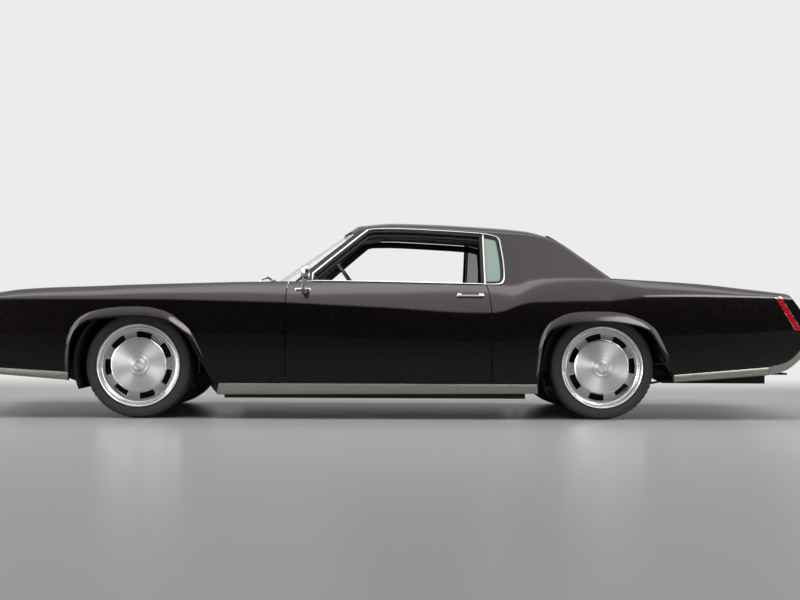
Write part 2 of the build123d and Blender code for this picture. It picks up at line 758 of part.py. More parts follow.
SLOT_CORNERS = [
    (188, -14), (215, -14.3), (222, -12), (223, 0), (222, 12), (215, 14.3), (188, 14), (181, 11),
    (180, 0), (181, -11),
]


def turned(points, x, y):
    """A ring turned about the axle line from a closed (radius, y) outline."""
    face = make_face(Polyline(*[(r, yy, 0) for r, yy in points], close=True))
    solid = revolve(face, Axis.Y, 360)
    return Pos(x, y, AXLE_Z) * solid


def polar(radius, degrees):
    """A point of a slot's outline, from its distance and its angle to the slot's middle."""
    return radius * math.cos(math.radians(degrees)), radius * math.sin(math.radians(degrees))


def wheel(x, hand):
    """A deep disc wheel with seven rim slots, its outside towards +Y before it is handed."""
    outline = [
        (SPINDLE_RADIUS + 0.6, -3), (70, -3), (70, 70), (228, 78), (238, -121), (272, -121),
        (246, -105), (246, 99), (272, 118), (234, 94), (176, 94), (170, 100), (64, 102),
        (58, 113), (0, 115), (0, 66), (SPINDLE_RADIUS + 0.6, 66),
    ]
    disc = turned(outline, 0, 0)
    slot = [polar(r, a) for r, a in SLOT_CORNERS]
    cutter = extrude(make_face(Polyline(*slot, close=True)), amount=60)
    cutter = Pos(0, 110, AXLE_Z) * Rot(90, 0, 0) * cutter
    for i in range(SLOTS):
        angle = SLOT_START + 360 / SLOTS * i
        disc -= Pos(0, 0, AXLE_Z) * Rot(0, angle, 0) * Pos(0, 0, -AXLE_Z) * cutter
    placed = Pos(x, WHEEL_Y, 0) * disc
    return placed if hand > 0 else other_side(placed)


def tyre(x, hand):
    """A low tyre with rounded shoulders."""
    outline = [
        (246, -101), (246, 95), (276, 103), (304, 121), (331, 115), (345, 88),
        (345, -88), (331, -115), (304, -121), (276, -106),
    ]
    placed = turned(outline, x, WHEEL_Y)
    return placed if hand > 0 else other_side(placed)


def wheels_and_tyres():
    """Four wheels and four tyres, named by their corners."""
    nodes = {}
    for end, x in (("front", 0.0), ("rear", WHEELBASE)):
        for side, hand in (("right", 1), ("left", -1)):
            nodes[f"wheel_{end}_{side}"] = wheel(x, hand)
            nodes[f"tyre_{end}_{side}"] = tyre(x, hand)
    return nodes


# Interior

def seats():
    """Front seats and the rear bench."""
    front = side_prism(
        [(1430, 260), (1415, 420), (1440, 470), (1900, 440), (1960, 480), (2040, 860), (2070, 880),
         (2125, 860), (2060, 420), (2000, 260)], 90, 650,
    )
    rear = side_prism(
        [(2395, 240), (2380, 440), (2410, 480), (2880, 450), (2940, 490), (3010, 855), (3060, 862),
         (3075, 850), (3000, 396), (2592, 396), (2492, 240)], -560, 560,
    )
    pedestal = block(1480, 1960, 130, 610, 202, 262)
    return {"front_seats": both_sides(front + pedestal), "rear_seat": rear}


def dashboard():
    """The instrument panel and the steering column."""
    panel = side_prism(
        [(740, 862), (900, 862), (985, 838), (990, 770), (940, 700), (800, 640), (740, 640)],
        -735, 735,
    )
    axis = Vector(math.cos(STEER_TILT), 0, math.sin(STEER_TILT))
    hub = Vector(*STEER_HUB)
    lower_end = Plane(origin=hub - axis * 520, z_dir=axis)
    column = lower_end * extrude(RegularPolygon(34, 12), amount=440)
    shaft = lower_end * extrude(RegularPolygon(8, 12), amount=510)
    return {"dashboard": panel + column + shaft}


def steering_wheel():
    """A two-spoke steering wheel about its tilted column."""
    axis = Vector(math.cos(STEER_TILT), 0, math.sin(STEER_TILT))
    plane = Plane(origin=Vector(*STEER_HUB), x_dir=(0, 1, 0), z_dir=axis)
    grip = Plane.XZ * (Pos(STEER_RADIUS, 0) * RegularPolygon(13, 6))
    rim = revolve(grip, Axis.Z, 360)
    hub = post(0, 0, -60, 6, 42)
    hub += Pos(0, 0, -14) * Box(2 * STEER_RADIUS - 8, 34, 10)
    hub -= pin(0, 0, -60, -6, 9.4)
    return {"steering_wheel": plane * (rim + hub)}


# Fittings

def handles(door):
    """The door handles, a bar between two feet on the shoulder of the door."""
    plane = Plane(origin=(2173, 903, 821), x_dir=(1, 0, 0), z_dir=(0, 0.82, 0.57))
    bar = Pos(0, 0, 24) * Box(182, 20, 9)
    feet = Pos(-74, 0, 12) * Box(30, 18, 30) + Pos(74, 0, 12) * Box(30, 18, 30)
    return both_as_parts("door_handle", plane * (bar + feet) - door)


def mirrors(door):
    """The round door mirrors on their raked stalks."""
    base = Pos(1078, 905, 838) * Rot(-35, 0, 0) * Box(104, 46, 30)
    stalk_start, stalk_end = Vector(1092, 915, 850), Vector(1103, 962, 940)
    direction = (stalk_end - stalk_start).normalized()
    stalk = Plane(origin=stalk_start, z_dir=direction) * extrude(
        RegularPolygon(10, 12), amount=(stalk_end - stalk_start).length
    )
    head = Pos(1103, 966, 961) * Rot(0, 90, 0) * Cone(30, 48, 60)
    return both_as_parts("mirror", (base + stalk + head) - door)


def bar_between(start, end, width, thickness):
    """A flat bar from one point to another."""
    start, end = Vector(*start), Vector(*end)
    flat = (end - start).normalized().cross(Vector(0, 0, 1))
    plane = Plane(origin=start, x_dir=flat, z_dir=end - start)
    return plane * extrude(Rectangle(width, thickness), amount=(end - start).length)


def wipers(cowl_panel):
    """Two wiper arms and blades parked at the foot of the windshield."""
    pieces = []
    for y in (-470, 130):
        pivot = pin(762, y, 880, 926, 13)
        arm = bar_between((762, y, 918), (800, y + 330, 946), 14, 7)
        blade = bar_between((800, y + 60, 944), (800, y + 480, 944), 10, 12)
        pieces.append((pivot + arm + blade) - cowl_panel)
    return {"wipers": Compound(children=[s for piece in pieces for s in piece.solids()])}


def lower_trim(outer_plus, outer_minus):
    """The satin strips along the sills and ahead of and behind the wheels."""
    sill = [(517, 158), (2613, 173), (2606, 233), (540, 233)]
    front = [(-897, 325), (-443, 300), (-443, 248), (-897, 283)]
    rear = [(3510, 299), (4149, 350), (4149, 297), (3510, 250)]
    band = outer_plus - outer_minus
    strips = [band & side_prism(outline, 700, 1100) for outline in (sill, front, rear)]
    return {"lower_trim": Compound(children=[
        s for strip in strips for piece in (strip, other_side(strip)) for s in piece.solids()
    ])}


def build():
    """Every node of the car by name, placed from the front axle."""
    skin = side_skin()
    outer = greenhouse(0)
    house = outer
    inner = envelope(SKIN + 0.5)
    face = envelope(-6)
    nodes = {}
    nodes.update(front_fenders(skin, house))
    nodes.update(doors())
    nodes.update(quarter_panels(skin, house))
    nodes.update(tail_lamps(skin))
    nodes.update(hood())
    nodes.update(deck_lid())
    nodes.update(cowl(house))
    nodes.update(rear_shelf(house))
    nodes.update(roof(outer, greenhouse(ROOF_WALL)))
    nodes.update(glass())
    nodes.update(window_mouldings(outer))
    nodes.update(front_bumper(face))
    nodes.update(rear_bumper(face))
    nodes.update(tail_panel(inner))
    nodes.update(grille(inner))
    nodes.update(frame_rails())
    nodes.update(floor_pan(inner))
    nodes.update(wheelhouses(inner))
    nodes.update(engine())
    nodes.update(exhaust())
    nodes.update(fuel_tank())
    nodes.update(front_suspension())
    nodes.update(knuckles())
    nodes.update(rear_axle())
    nodes.update(wheels_and_tyres())
    nodes.update(seats())
    nodes.update(dashboard())
    nodes.update(steering_wheel())
    nodes.update(handles(nodes["door_right"]))
    nodes.update(mirrors(nodes["door_right"]))
    nodes.update(wipers(nodes["cowl"]))
    nodes.update(lower_trim(envelope(-4), envelope(30)))
    return nodes


def main():
    """Writes one STEP file per node, with the origin on the floor under the middle."""
    os.makedirs("parts", exist_ok=True)
    for name, shape in build().items():
        export_step(Pos(-MIDDLE_X, 0, 0) * shape, f"parts/{name}.step")


main()
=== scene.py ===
"""A two-door hardtop coupe in dark brown-black paint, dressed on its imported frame.

The body is drawn the way a body draughtsman draws it: in millimetres, with x running back
from the front axle, y to the right from the middle and z up from the floor. A Form is
modelled in that measure, and becomes a piece in metres when it is placed on the car.
"""

import json
import logging
import math
from collections.abc import Iterable, Sequence
from dataclasses import dataclass
from enum import Enum
from typing import Any

import bmesh
import bpy
import numpy as np
from mathutils import Matrix, Vector
from mathutils.bvhtree import BVHTree
from mathutils.interpolate import poly_3d_calc

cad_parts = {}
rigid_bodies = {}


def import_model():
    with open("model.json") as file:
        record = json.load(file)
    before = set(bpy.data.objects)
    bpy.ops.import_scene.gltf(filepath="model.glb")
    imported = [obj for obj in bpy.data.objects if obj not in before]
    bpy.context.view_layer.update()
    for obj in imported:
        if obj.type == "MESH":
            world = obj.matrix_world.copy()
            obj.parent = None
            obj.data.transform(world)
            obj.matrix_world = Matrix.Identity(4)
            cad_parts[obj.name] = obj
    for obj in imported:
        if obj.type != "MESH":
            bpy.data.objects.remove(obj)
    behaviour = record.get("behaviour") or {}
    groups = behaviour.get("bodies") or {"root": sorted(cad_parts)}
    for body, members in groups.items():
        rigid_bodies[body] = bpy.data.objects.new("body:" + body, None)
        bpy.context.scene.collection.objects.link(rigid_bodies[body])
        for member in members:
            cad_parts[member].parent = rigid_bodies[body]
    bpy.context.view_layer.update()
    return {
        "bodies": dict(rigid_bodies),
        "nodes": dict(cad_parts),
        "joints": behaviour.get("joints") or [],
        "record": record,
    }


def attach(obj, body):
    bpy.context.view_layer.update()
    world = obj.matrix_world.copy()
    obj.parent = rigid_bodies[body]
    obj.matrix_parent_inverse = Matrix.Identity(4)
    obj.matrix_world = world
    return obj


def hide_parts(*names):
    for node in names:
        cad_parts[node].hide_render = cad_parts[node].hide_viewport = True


log = logging.getLogger("coupe")

MM = 0.001
MIDDLE_X = 1633.5
WHEELBASE = 3048.0
AXLE_Z = 345.0
WHEEL_Y = 785.0
Pair = tuple[float, float]


class Side(Enum):
    """The two sides of the car, with the sign of y on each."""

    RIGHT = 1
    LEFT = -1

    @property
    def word(self) -> str:
        """The side's name as the frame's nodes spell it."""
        return self.name.lower()


class Lie(Enum):
    """Which of two shapes a cut keeps."""

    INSIDE = "INTERSECT"
    OUTSIDE = "DIFFERENCE"


def tone(red: float, green: float, blue: float) -> tuple[float, float, float, float]:
    """A linear colour from its 0 to 255 display values."""
    def linear(value: float) -> float:
        share = value / 255
        return share / 12.92 if share <= 0.04045 else ((share + 0.055) / 1.055) ** 2.4
    return linear(red), linear(green), linear(blue), 1.0


# Curves

@dataclass(frozen=True)
class Curve:
    """A smooth line through (x, value) points that never overshoots them."""

    points: tuple[Pair, ...]

    def __call__(self, x: float) -> float:
        """The value at a station.

        Args:
            x: The station, which may lie past either end.

        Returns:
            The height or width there.
        """
        xs = [p[0] for p in self.points]
        ys = [p[1] for p in self.points]
        steps = [(ys[i + 1] - ys[i]) / (xs[i + 1] - xs[i]) for i in range(len(xs) - 1)]
        slopes = [steps[0]]
        for before, after in zip(steps, steps[1:]):
            slopes.append(0.0 if before * after <= 0 else 2 * before * after / (before + after))
        slopes.append(steps[-1])
        if x <= xs[0]:
            return ys[0] + slopes[0] * (x - xs[0])
        if x >= xs[-1]:
            return ys[-1] + slopes[-1] * (x - xs[-1])
        i = max(k for k in range(len(xs) - 1) if xs[k] <= x)
        width = xs[i + 1] - xs[i]
        t = (x - xs[i]) / width
        return (
            ys[i] * (1 + 2 * t) * (1 - t) ** 2 + slopes[i] * width * t * (1 - t) ** 2
            + ys[i + 1] * t * t * (3 - 2 * t) + slopes[i + 1] * width * t * t * (t - 1)
        )


def spread(start: float, end: float, count: int) -> list[float]:
    """Evenly spaced values from start to end, both included."""
    return [start + (end - start) * i / (count - 1) for i in range(count)]


def circle(across: float, up: float, count: int) -> list[Pair]:
    """Evenly spaced points round a circle or an oval, from its two radii."""
    return [(across * math.cos(a), up * math.sin(a)) for a in spread(0, math.tau, count + 1)[:-1]]


def spline(points: Sequence[Pair], per_span: int) -> list[Pair]:
    """A smooth curve through points, as many short straight pieces.

    Args:
        points: The points that the curve passes through.
        per_span: How many pieces there are from one point to the next.

    Returns:
        The points along the curve.
    """
    made: list[Pair] = []
    last = len(points) - 1
    for i in range(last):
        around = [np.array(points[min(max(k, 0), last)], float) for k in range(i - 1, i + 3)]
        for step in range(per_span):
            t = step / per_span
            blend = 0.5 * (
                2 * around[1] + (around[2] - around[0]) * t
                + (2 * around[0] - 5 * around[1] + 4 * around[2] - around[3]) * t ** 2
                + (3 * around[1] - around[0] - 3 * around[2] + around[3]) * t ** 3
            )
            made.append((float(blend[0]), float(blend[1])))
    made.append(tuple(points[last]))
    return made


def rounded(outline: Sequence[Pair], radius: float, steps: int = 5, closed: bool = True) -> list[Pair]:
    """An outline with its corners rounded.

    Args:
        outline: The corners in order.
        radius: How far from each corner the rounding starts, less where an edge is short.
        steps: How many pieces each corner gets.
        closed: Whether the last corner joins the first.

    Returns:
        The points of the rounded outline.
    """
    made: list[Pair] = []
    count = len(outline)
    for i in range(count):
        here = Vector(outline[i])
        if not closed and i in (0, count - 1):
            made.append(tuple(here))
            continue
        before, after = Vector(outline[i - 1]), Vector(outline[(i + 1) % count])
        reach = min(radius, (before - here).length * 0.45, (after - here).length * 0.45)
        start = here + (before - here).normalized() * reach
        end = here + (after - here).normalized() * reach
        for step in range(steps + 1):
            t = step / steps
            made.append(tuple(start * (1 - t) ** 2 + here * 2 * t * (1 - t) + end * t ** 2))
    return made


def offset(line: Sequence[Pair], distance: float, closed: bool = False) -> list[Pair]:
    """A line of points moved to the left of the way it runs."""
    made = []
    count = len(line)
    for i, point in enumerate(line):
        before = line[i - 1] if closed or i else point
        after = line[(i + 1) % count] if closed or i < count - 1 else point
        along = (Vector(after) - Vector(before)).normalized()
        made.append((point[0] - along.y * distance, point[1] + along.x * distance))
    return made


def softened(line: np.ndarray, places: Sequence[float], reach: float) -> list[np.ndarray]:
    """Points along a line at given distances, with its corners turned into curves.

    Args:
        line: The line's own points, in order.
        places: The distances from its start.
        reach: How far to each side of a corner the rounding goes.

    Returns:
        One point for each place.
    """
    lengths = np.concatenate([[0.0], np.cumsum(np.linalg.norm(np.diff(line, axis=0), axis=1))])
    made = []
    for place in places:
        half = min(reach, place, lengths[-1] - place)
        near = place + half * np.linspace(-1, 1, 11)
        made.append(np.array([np.interp(near, lengths, line[:, k]).mean() for k in range(line.shape[1])]))
    return made


# Modelling

class Form:
    """A mesh being modelled, in millimetres on the car."""

    def __init__(self) -> None:
        """Starts an empty mesh."""
        self.bm = bmesh.new()

    @classmethod
    def laid(cls, columns: Sequence[Sequence[Sequence[float]]], weld: bool = False) -> "Form":
        """A grid laid over a surface.

        Args:
            columns: The points of the surface, column by column.
            weld: Whether points that meet are joined, as where the grid closes on itself.

        Returns:
            The laid grid.
        """
        form = cls()
        across, down = len(columns) - 1, len(columns[0]) - 1
        bmesh.ops.create_grid(form.bm, x_segments=across, y_segments=down, size=1)
        for vert in form.bm.verts:
            i = round((vert.co.x + 1) / 2 * across)
            j = round((vert.co.y + 1) / 2 * down)
            vert.co = Vector(columns[i][j])
        if weld:
            bmesh.ops.remove_doubles(form.bm, verts=form.bm.verts[:], dist=0.05)
        return form

    @classmethod
    def box(cls, low: Sequence[float], high: Sequence[float]) -> "Form":
        """A block between two corners."""
        form = cls()
        bmesh.ops.create_cube(form.bm, size=1)
        low, high = Vector(low), Vector(high)
        bmesh.ops.scale(form.bm, vec=high - low, verts=form.bm.verts[:])
        bmesh.ops.translate(form.bm, vec=(low + high) / 2, verts=form.bm.verts[:])
        return form

    @classmethod
    def turned(cls, profile: Sequence[Pair], steps: int, closed: bool = True) -> "Form":
        """A profile of (radius, y) points turned about the y axis.

        Args:
            profile: The profile in order.
            steps: How many flats there are round the turn.
            closed: Whether the profile is a closed ring.

        Returns:
            The turned mesh, about the origin.
        """
        form = cls()
        verts = [form.bm.verts.new((r, y, 0)) for r, y in profile]
        ends = verts[1:] + ([verts[0]] if closed else [])
        edges = [form.bm.edges.new(pair) for pair in zip(verts, ends)]
        bmesh.ops.spin(
            form.bm, geom=verts + edges, cent=(0, 0, 0), axis=(0, 1, 0), dvec=(0, 0, 0),
            angle=math.tau, steps=steps, use_merge=True, use_normal_flip=False, use_duplicate=False,
        )
        bmesh.ops.remove_doubles(form.bm, verts=form.bm.verts[:], dist=0.001)
        return form.outward()

    @classmethod
    def prism(cls, outline: Sequence[Pair], y0: float, y1: float) -> "Form":
        """A side-view outline of (x, z) points, pushed across the car from y0 to y1."""
        form = cls()
        face = form.bm.faces.new([form.bm.verts.new((x, y0, z)) for x, z in outline])
        pushed = bmesh.ops.extrude_face_region(form.bm, geom=[face])["geom"]
        moved = [v for v in pushed if isinstance(v, bmesh.types.BMVert)]
        bmesh.ops.translate(form.bm, vec=(0, y1 - y0, 0), verts=moved)
        return form.outward()

    @classmethod
    def tube(cls, path: Sequence[Sequence[float]], section: Sequence[Pair], closed: bool = False,
             up: Sequence[float] = (0, 0, 1)) -> "Form":
        """A section carried along a path.

        Args:
            path: The path's points.
            section: The section's closed outline, as (sideways, upwards) offsets.
            closed: Whether the path joins its own start.
            up: The direction that the section's upward side keeps to.

        Returns:
            The swept mesh, with flat ends if the path is open.
        """
        points = [Vector(p) for p in path]
        count = len(points)
        columns = []
        for i, point in enumerate(points):
            before = points[i - 1] if closed or i else point
            after = points[(i + 1) % count] if closed or i < count - 1 else point
            along = (after - before).normalized()
            sideways = along.cross(Vector(up)).normalized()
            upwards = sideways.cross(along).normalized()
            ring = [point + sideways * a + upwards * b for a, b in section]
            columns.append([*ring, ring[0]])
        if closed:
            columns.append(columns[0])
        form = cls.laid(columns, weld=True)
        if not closed:
            form.capped()
        return form.outward()

    @classmethod
    def ball(cls, centre: Sequence[float], radii: Sequence[float], cuts: int = 24) -> "Form":
        """A rounded lump with its own radius along each axis."""
        form = cls()
        bmesh.ops.create_uvsphere(form.bm, u_segments=cuts, v_segments=cuts // 2, radius=1)
        bmesh.ops.scale(form.bm, vec=Vector(radii), verts=form.bm.verts[:])
        return form.moved(Matrix.Translation(Vector(centre)))

    def capped(self) -> "Form":
        """The same form with its open ends closed by flat faces."""
        edges = [e for e in self.bm.edges if e.is_boundary]
        bmesh.ops.holes_fill(self.bm, edges=edges, sides=0)
        return self

    def outward(self) -> "Form":
        """The same form with its faces turned outwards."""
        bmesh.ops.recalc_face_normals(self.bm, faces=self.bm.faces[:])
        return self

    def flipped(self) -> "Form":
        """The same form with its faces turned the other way."""
        bmesh.ops.reverse_faces(self.bm, faces=self.bm.faces[:])
        return self

    def facing(self, direction: Sequence[float]) -> "Form":
        """An open sheet turned so that most of its faces look in a direction."""
        self.outward()
        total = sum((f.normal * f.calc_area() for f in self.bm.faces), Vector())
        return self.flipped() if total.dot(Vector(direction)) < 0 else self

    def thick(self, depth: float) -> "Form":
        """An open sheet given a thickness away from the way it faces."""
        bmesh.ops.solidify(self.bm, geom=self.bm.faces[:], thickness=depth)
        return self

    def copy(self) -> "Form":
        """A separate copy."""
        form = Form()
        form.bm = self.bm.copy()
        return form

    def moved(self, matrix: Matrix) -> "Form":
        """The same form moved by a matrix."""
        bmesh.ops.transform(self.bm, matrix=matrix, verts=self.bm.verts[:])
        return self

    def on(self, side: Side) -> "Form":
        """A right-hand form as it is on the given side."""
        form = self.copy()
        if side is Side.LEFT:
            form.moved(Matrix.Diagonal((1, -1, 1, 1))).flipped()
        return form

    def joined(self, *others: "Form") -> "Form":
        """The same form with the others' meshes beside its own."""
        for other in others:
            mesh = bpy.data.meshes.new("part")
            other.bm.to_mesh(mesh)
            self.bm.from_mesh(mesh)
            bpy.data.meshes.remove(mesh)
        return self

    def bevelled(self, width: float, segments: int = 2, over: float = 35.0) -> "Form":
        """The same form with its sharp edges rounded.

        Args:
            width: How far from the edge the rounding starts.
            segments: How many faces each rounding has.
            over: The angle in degrees over which an edge counts as sharp.

        Returns:
            The form itself.
        """
        sharp = [e for e in self.bm.edges if e.is_manifold and e.calc_face_angle(0) > math.radians(over)]
        bmesh.ops.bevel(
            self.bm, geom=sharp, offset=width, offset_type="OFFSET", segments=segments, profile=0.5,
            affect="EDGES", clamp_overlap=True, material=-1,
        )
        return self

    def cut(self, cutter: "Form", keep: Lie = Lie.OUTSIDE) -> "Form":
        """The same form with what lies outside or inside a closed cutter kept."""
        objects = []
        for name, form in (("blank", self), ("cutter", cutter)):
            mesh = bpy.data.meshes.new(name)
            form.bm.to_mesh(mesh)
            made = bpy.data.objects.new(name, mesh)
            bpy.context.scene.collection.objects.link(made)
            objects.append(made)
        blank, knife = objects
        modifier = blank.modifiers.new("cut", "BOOLEAN")
        modifier.operation, modifier.object, modifier.solver = keep.value, knife, "MANIFOLD"
        mesh = bpy.data.meshes.new_from_object(blank.evaluated_get(bpy.context.evaluated_depsgraph_get()))
        if not mesh.polygons:
            modifier.solver = "EXACT"
            mesh = bpy.data.meshes.new_from_object(blank.evaluated_get(bpy.context.evaluated_depsgraph_get()))
        self.bm.clear()
        self.bm.from_mesh(mesh)
        for made in objects:
            used = made.data
            bpy.data.objects.remove(made)
            bpy.data.meshes.remove(used)
        bpy.data.meshes.remove(mesh)
        return self


class Car:
    """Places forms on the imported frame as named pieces."""

    def __init__(self, frame: dict[str, Any]) -> None:
        """Keeps the frame and starts the count of pieces."""
        self.frame = frame
        self.count = 0

    def piece(self, name: str, form: Form, finish: "Finish", body: str = "body",
              replaces: Iterable[str] = (), smooth: float = 32.0, shine: Form | None = None,
              padded: float | None = None) -> bpy.types.Object:
        """Makes a form a piece of the car.

        Args:
            name: The piece's name.
            form: Its mesh, in millimetres on the car.
            finish: What it is made of.
            body: The body of the frame that it moves with.
            replaces: The frame's nodes that it stands for.
            smooth: The angle in degrees up to which its faces shade as one surface.
            shine: The uncut surface whose curvature it takes its reflections from.
            padded: How full it is, if it is a padded piece. It is not used.

        Returns:
            The placed object.
        """
        for face in form.bm.faces:
            face.smooth = True
        for edge in form.bm.edges:
            if edge.is_manifold and edge.calc_face_angle(0) > math.radians(smooth):
                edge.smooth = False
        mesh = bpy.data.meshes.new(name)
        normals = polished(form, shine) if shine else None
        to_metres = Matrix.Diagonal((MM, MM, MM, 1)) @ Matrix.Translation((-MIDDLE_X, 0, 0))
        form.bm.transform(to_metres)
        form.bm.to_mesh(mesh)
        if normals:
            mesh.normals_split_custom_set(normals)
        mesh.materials.append(finish.material())
        made = bpy.data.objects.new(name, mesh)
        bpy.context.scene.collection.objects.link(made)
        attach(made, body)
        if replaces:
            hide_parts(*replaces)
        self.count += 1
        log.info("%s: %d faces on %s", name, len(mesh.polygons), body)
        form.bm.free()
        return made

    def dress(self, node: str, finish: "Finish", round_off: float = 0.0) -> None:
        """Gives a node of the frame its finish, and softens its edges by a small width in metres."""
        shown = self.frame["nodes"][node]
        shown.data.materials.clear()
        shown.data.materials.append(finish.material())
        if round_off:
            weld = shown.modifiers.new("weld", "WELD")
            weld.merge_threshold = 0.00002
            soft = shown.modifiers.new("edges", "BEVEL")
            soft.width, soft.segments, soft.limit_method = round_off, 2, "ANGLE"
            soft.angle_limit = math.radians(40)
            soft.harden_normals = False
        self.count += 1
        log.info("%s keeps its own shape", node)


def polished(form: Form, source: Form) -> list[Vector]:
    """Normals for each face corner, from the uncut surface where the form lies on it.

    Args:
        form: The cut form.
        source: The surface it was cut from.

    Returns:
        One normal for each face corner, in order.
    """
    source.bm.faces.ensure_lookup_table()
    source.bm.normal_update()
    form.bm.normal_update()
    tree = BVHTree.FromBMesh(source.bm)
    found: dict[int, tuple[Vector, float]] = {}
    normals = []
    for face in form.bm.faces:
        for loop in face.loops:
            vert = loop.vert
            if vert.index not in found:
                place, _, index, gap = tree.find_nearest(vert.co)
                corners = source.bm.faces[index].verts
                weights = poly_3d_calc([c.co for c in corners], place)
                normal = sum((c.normal * w for c, w in zip(corners, weights)), Vector())
                found[vert.index] = (normal.normalized(), gap)
            normal, gap = found[vert.index]
            lies_on = gap < 0.6 and normal.dot(face.normal) > 0.75
            normals.append(normal if lies_on else face.normal.copy())
    return normals


# Finishes

class Signal:
    """A value in a material, with arithmetic that adds Math nodes."""

    def __init__(self, board: "Board", socket: bpy.types.NodeSocket) -> None:
        """Keeps the socket and the board it is on."""
        self.board = board
        self.socket = socket

    def _math(self, operation: str, first: Any, second: Any) -> "Signal":
        """The result of one Math node."""
        return self.board.node("ShaderNodeMath", {"operation": operation}, {0: first, 1: second})

    def __add__(self, other: Any) -> "Signal":
        """This value plus another."""
        return self._math("ADD", self, other)

    def __radd__(self, other: Any) -> "Signal":
        """Another value plus this one."""
        return self._math("ADD", other, self)

    def __sub__(self, other: Any) -> "Signal":
        """This value less another."""
        return self._math("SUBTRACT", self, other)

    def __rsub__(self, other: Any) -> "Signal":
        """Another value less this one."""
        return self._math("SUBTRACT", other, self)

    def __mul__(self, other: Any) -> "Signal":
        """This value times another."""
        return self._math("MULTIPLY", self, other)

    def __rmul__(self, other: Any) -> "Signal":
        """Another value times this one."""
        return self._math("MULTIPLY", other, self)

    def __truediv__(self, other: Any) -> "Signal":
        """This value over another."""
        return self._math("DIVIDE", self, other)

    def __pow__(self, other: Any) -> "Signal":
        """This value to a power."""
        return self._math("POWER", self, other)

    def above(self, other: Any) -> "Signal":
        """1 where this value is over another, else 0."""
        return self._math("GREATER_THAN", self, other)


class Board:
    """The nodes of one material, or of the world."""

    def __init__(self, owner: bpy.types.Material | bpy.types.World) -> None:
        """Starts with no nodes."""
        self.owner = owner
        owner.use_nodes = True
        self.tree = owner.node_tree
        self.tree.nodes.clear()

    def node(self, kind: str, settings: dict[str, Any] | None = None, inputs: dict[Any, Any] | None = None,
             output: str | int = 0) -> Signal:
        """Adds one node.

        Args:
            kind: The node's type.
            settings: Its own settings, with a ramp's stops as (place, colour) pairs.
            inputs: Values or signals for its sockets, by name or number.
            output: The socket that is handed on.

        Returns:
            The signal at that output.
        """
        made = self.tree.nodes.new(kind)
        for key, value in (settings or {}).items():
            if key == "stops":
                ramp = made.color_ramp
                while len(ramp.elements) < len(value):
                    ramp.elements.new(0.5)
                for element, (place, colour) in zip(ramp.elements, value):
                    element.position, element.color = place, colour
            else:
                setattr(made, key, value)
        for key, value in (inputs or {}).items():
            socket = made.inputs[key]
            if isinstance(value, Signal):
                self.tree.links.new(value.socket, socket)
            else:
                socket.default_value = value
        return Signal(self, made.outputs[output] if made.outputs else made.inputs[0])

    def where(self, stretch: Sequence[float] = (1, 1, 1), centre: Sequence[float] = (0, 0, 0)) -> Signal:
        """The place on the piece in metres, stretched along each axis about a centre."""
        place = self.node("ShaderNodeTexCoord", output="Object")
        start = [-c * s for c, s in zip(centre, stretch)]
        return self.node("ShaderNodeMapping", {}, {"Vector": place, "Location": start, "Scale": stretch})

    def noise(self, scale: float, detail: float = 3.0, where: Signal | None = None) -> Signal:
        """Cloudy noise from 0 to 1, with its size as the number of blotches in a metre."""
        return self.node("ShaderNodeTexNoise", {}, {
            "Vector": where or self.where(), "Scale": scale, "Detail": detail, "Roughness": 0.55,
        })

    def bump(self, height: Signal, depth: float, strength: float = 1.0) -> Signal:
        """A normal from a height, with the depth of its relief in metres."""
        return self.node("ShaderNodeBump", {}, {"Height": height, "Distance": depth, "Strength": strength})

    def mix(self, share: Any, first: Any, second: Any) -> Signal:
        """A colour between two others."""
        return self.node("ShaderNodeMix", {"data_type": "RGBA"}, {0: share, 6: first, 7: second}, output=2)

    def surface(self, **sockets: Any) -> Signal:
        """The principled shader, with its sockets named as words joined by underscores."""
        return self.node("ShaderNodeBsdfPrincipled", {}, {k.replace("_", " "): v for k, v in sockets.items()})

    def finish(self, shader: Signal, output: str = "ShaderNodeOutputMaterial") -> bpy.types.Material:
        """Ends the material, or the world, with a shader."""
        self.node(output, {}, {"Surface": shader})
        return self.owner


@dataclass(frozen=True)
class Finish:
    """What a piece is made of, and the slot of the record that it belongs to."""

    name: str
    slot: str

    def material(self) -> bpy.types.Material:
        """The finish's material, made once."""
        known = bpy.data.materials.get(self.name)
        if known:
            return known
        board = Board(bpy.data.materials.new(self.name))
        return board.finish(self.shade(board))

    def shade(self, board: Board) -> Signal:
        """The finish's shader."""
        raise NotImplementedError


@dataclass(frozen=True)
class BodyPaint(Finish):
    """Deep brown-black paint with fine metal flake under a clear coat."""

    name: str = "body_paint"
    slot: str = "paint"
    colour: tuple = tone(34, 29, 28)
    glow: tuple = tone(46, 39, 37)
    peel: float = 0.000006

    def shade(self, board: Board) -> Signal:
        """Flake in the colour coat, and faint orange peel in the clear one."""
        flake = board.noise(900, 2)
        cloud = board.noise(1.4, 2)
        colour = board.mix(flake * 0.6 + cloud * 0.4, self.colour, self.glow)
        ripple = board.bump(board.noise(160, 2), self.peel)
        return board.surface(
            Base_Color=colour, Metallic=0.9, Roughness=board.noise(60) * 0.06 + 0.24, Coat_Weight=1.0,
            Coat_Roughness=0.015, Coat_IOR=1.5, Normal=ripple,
        )


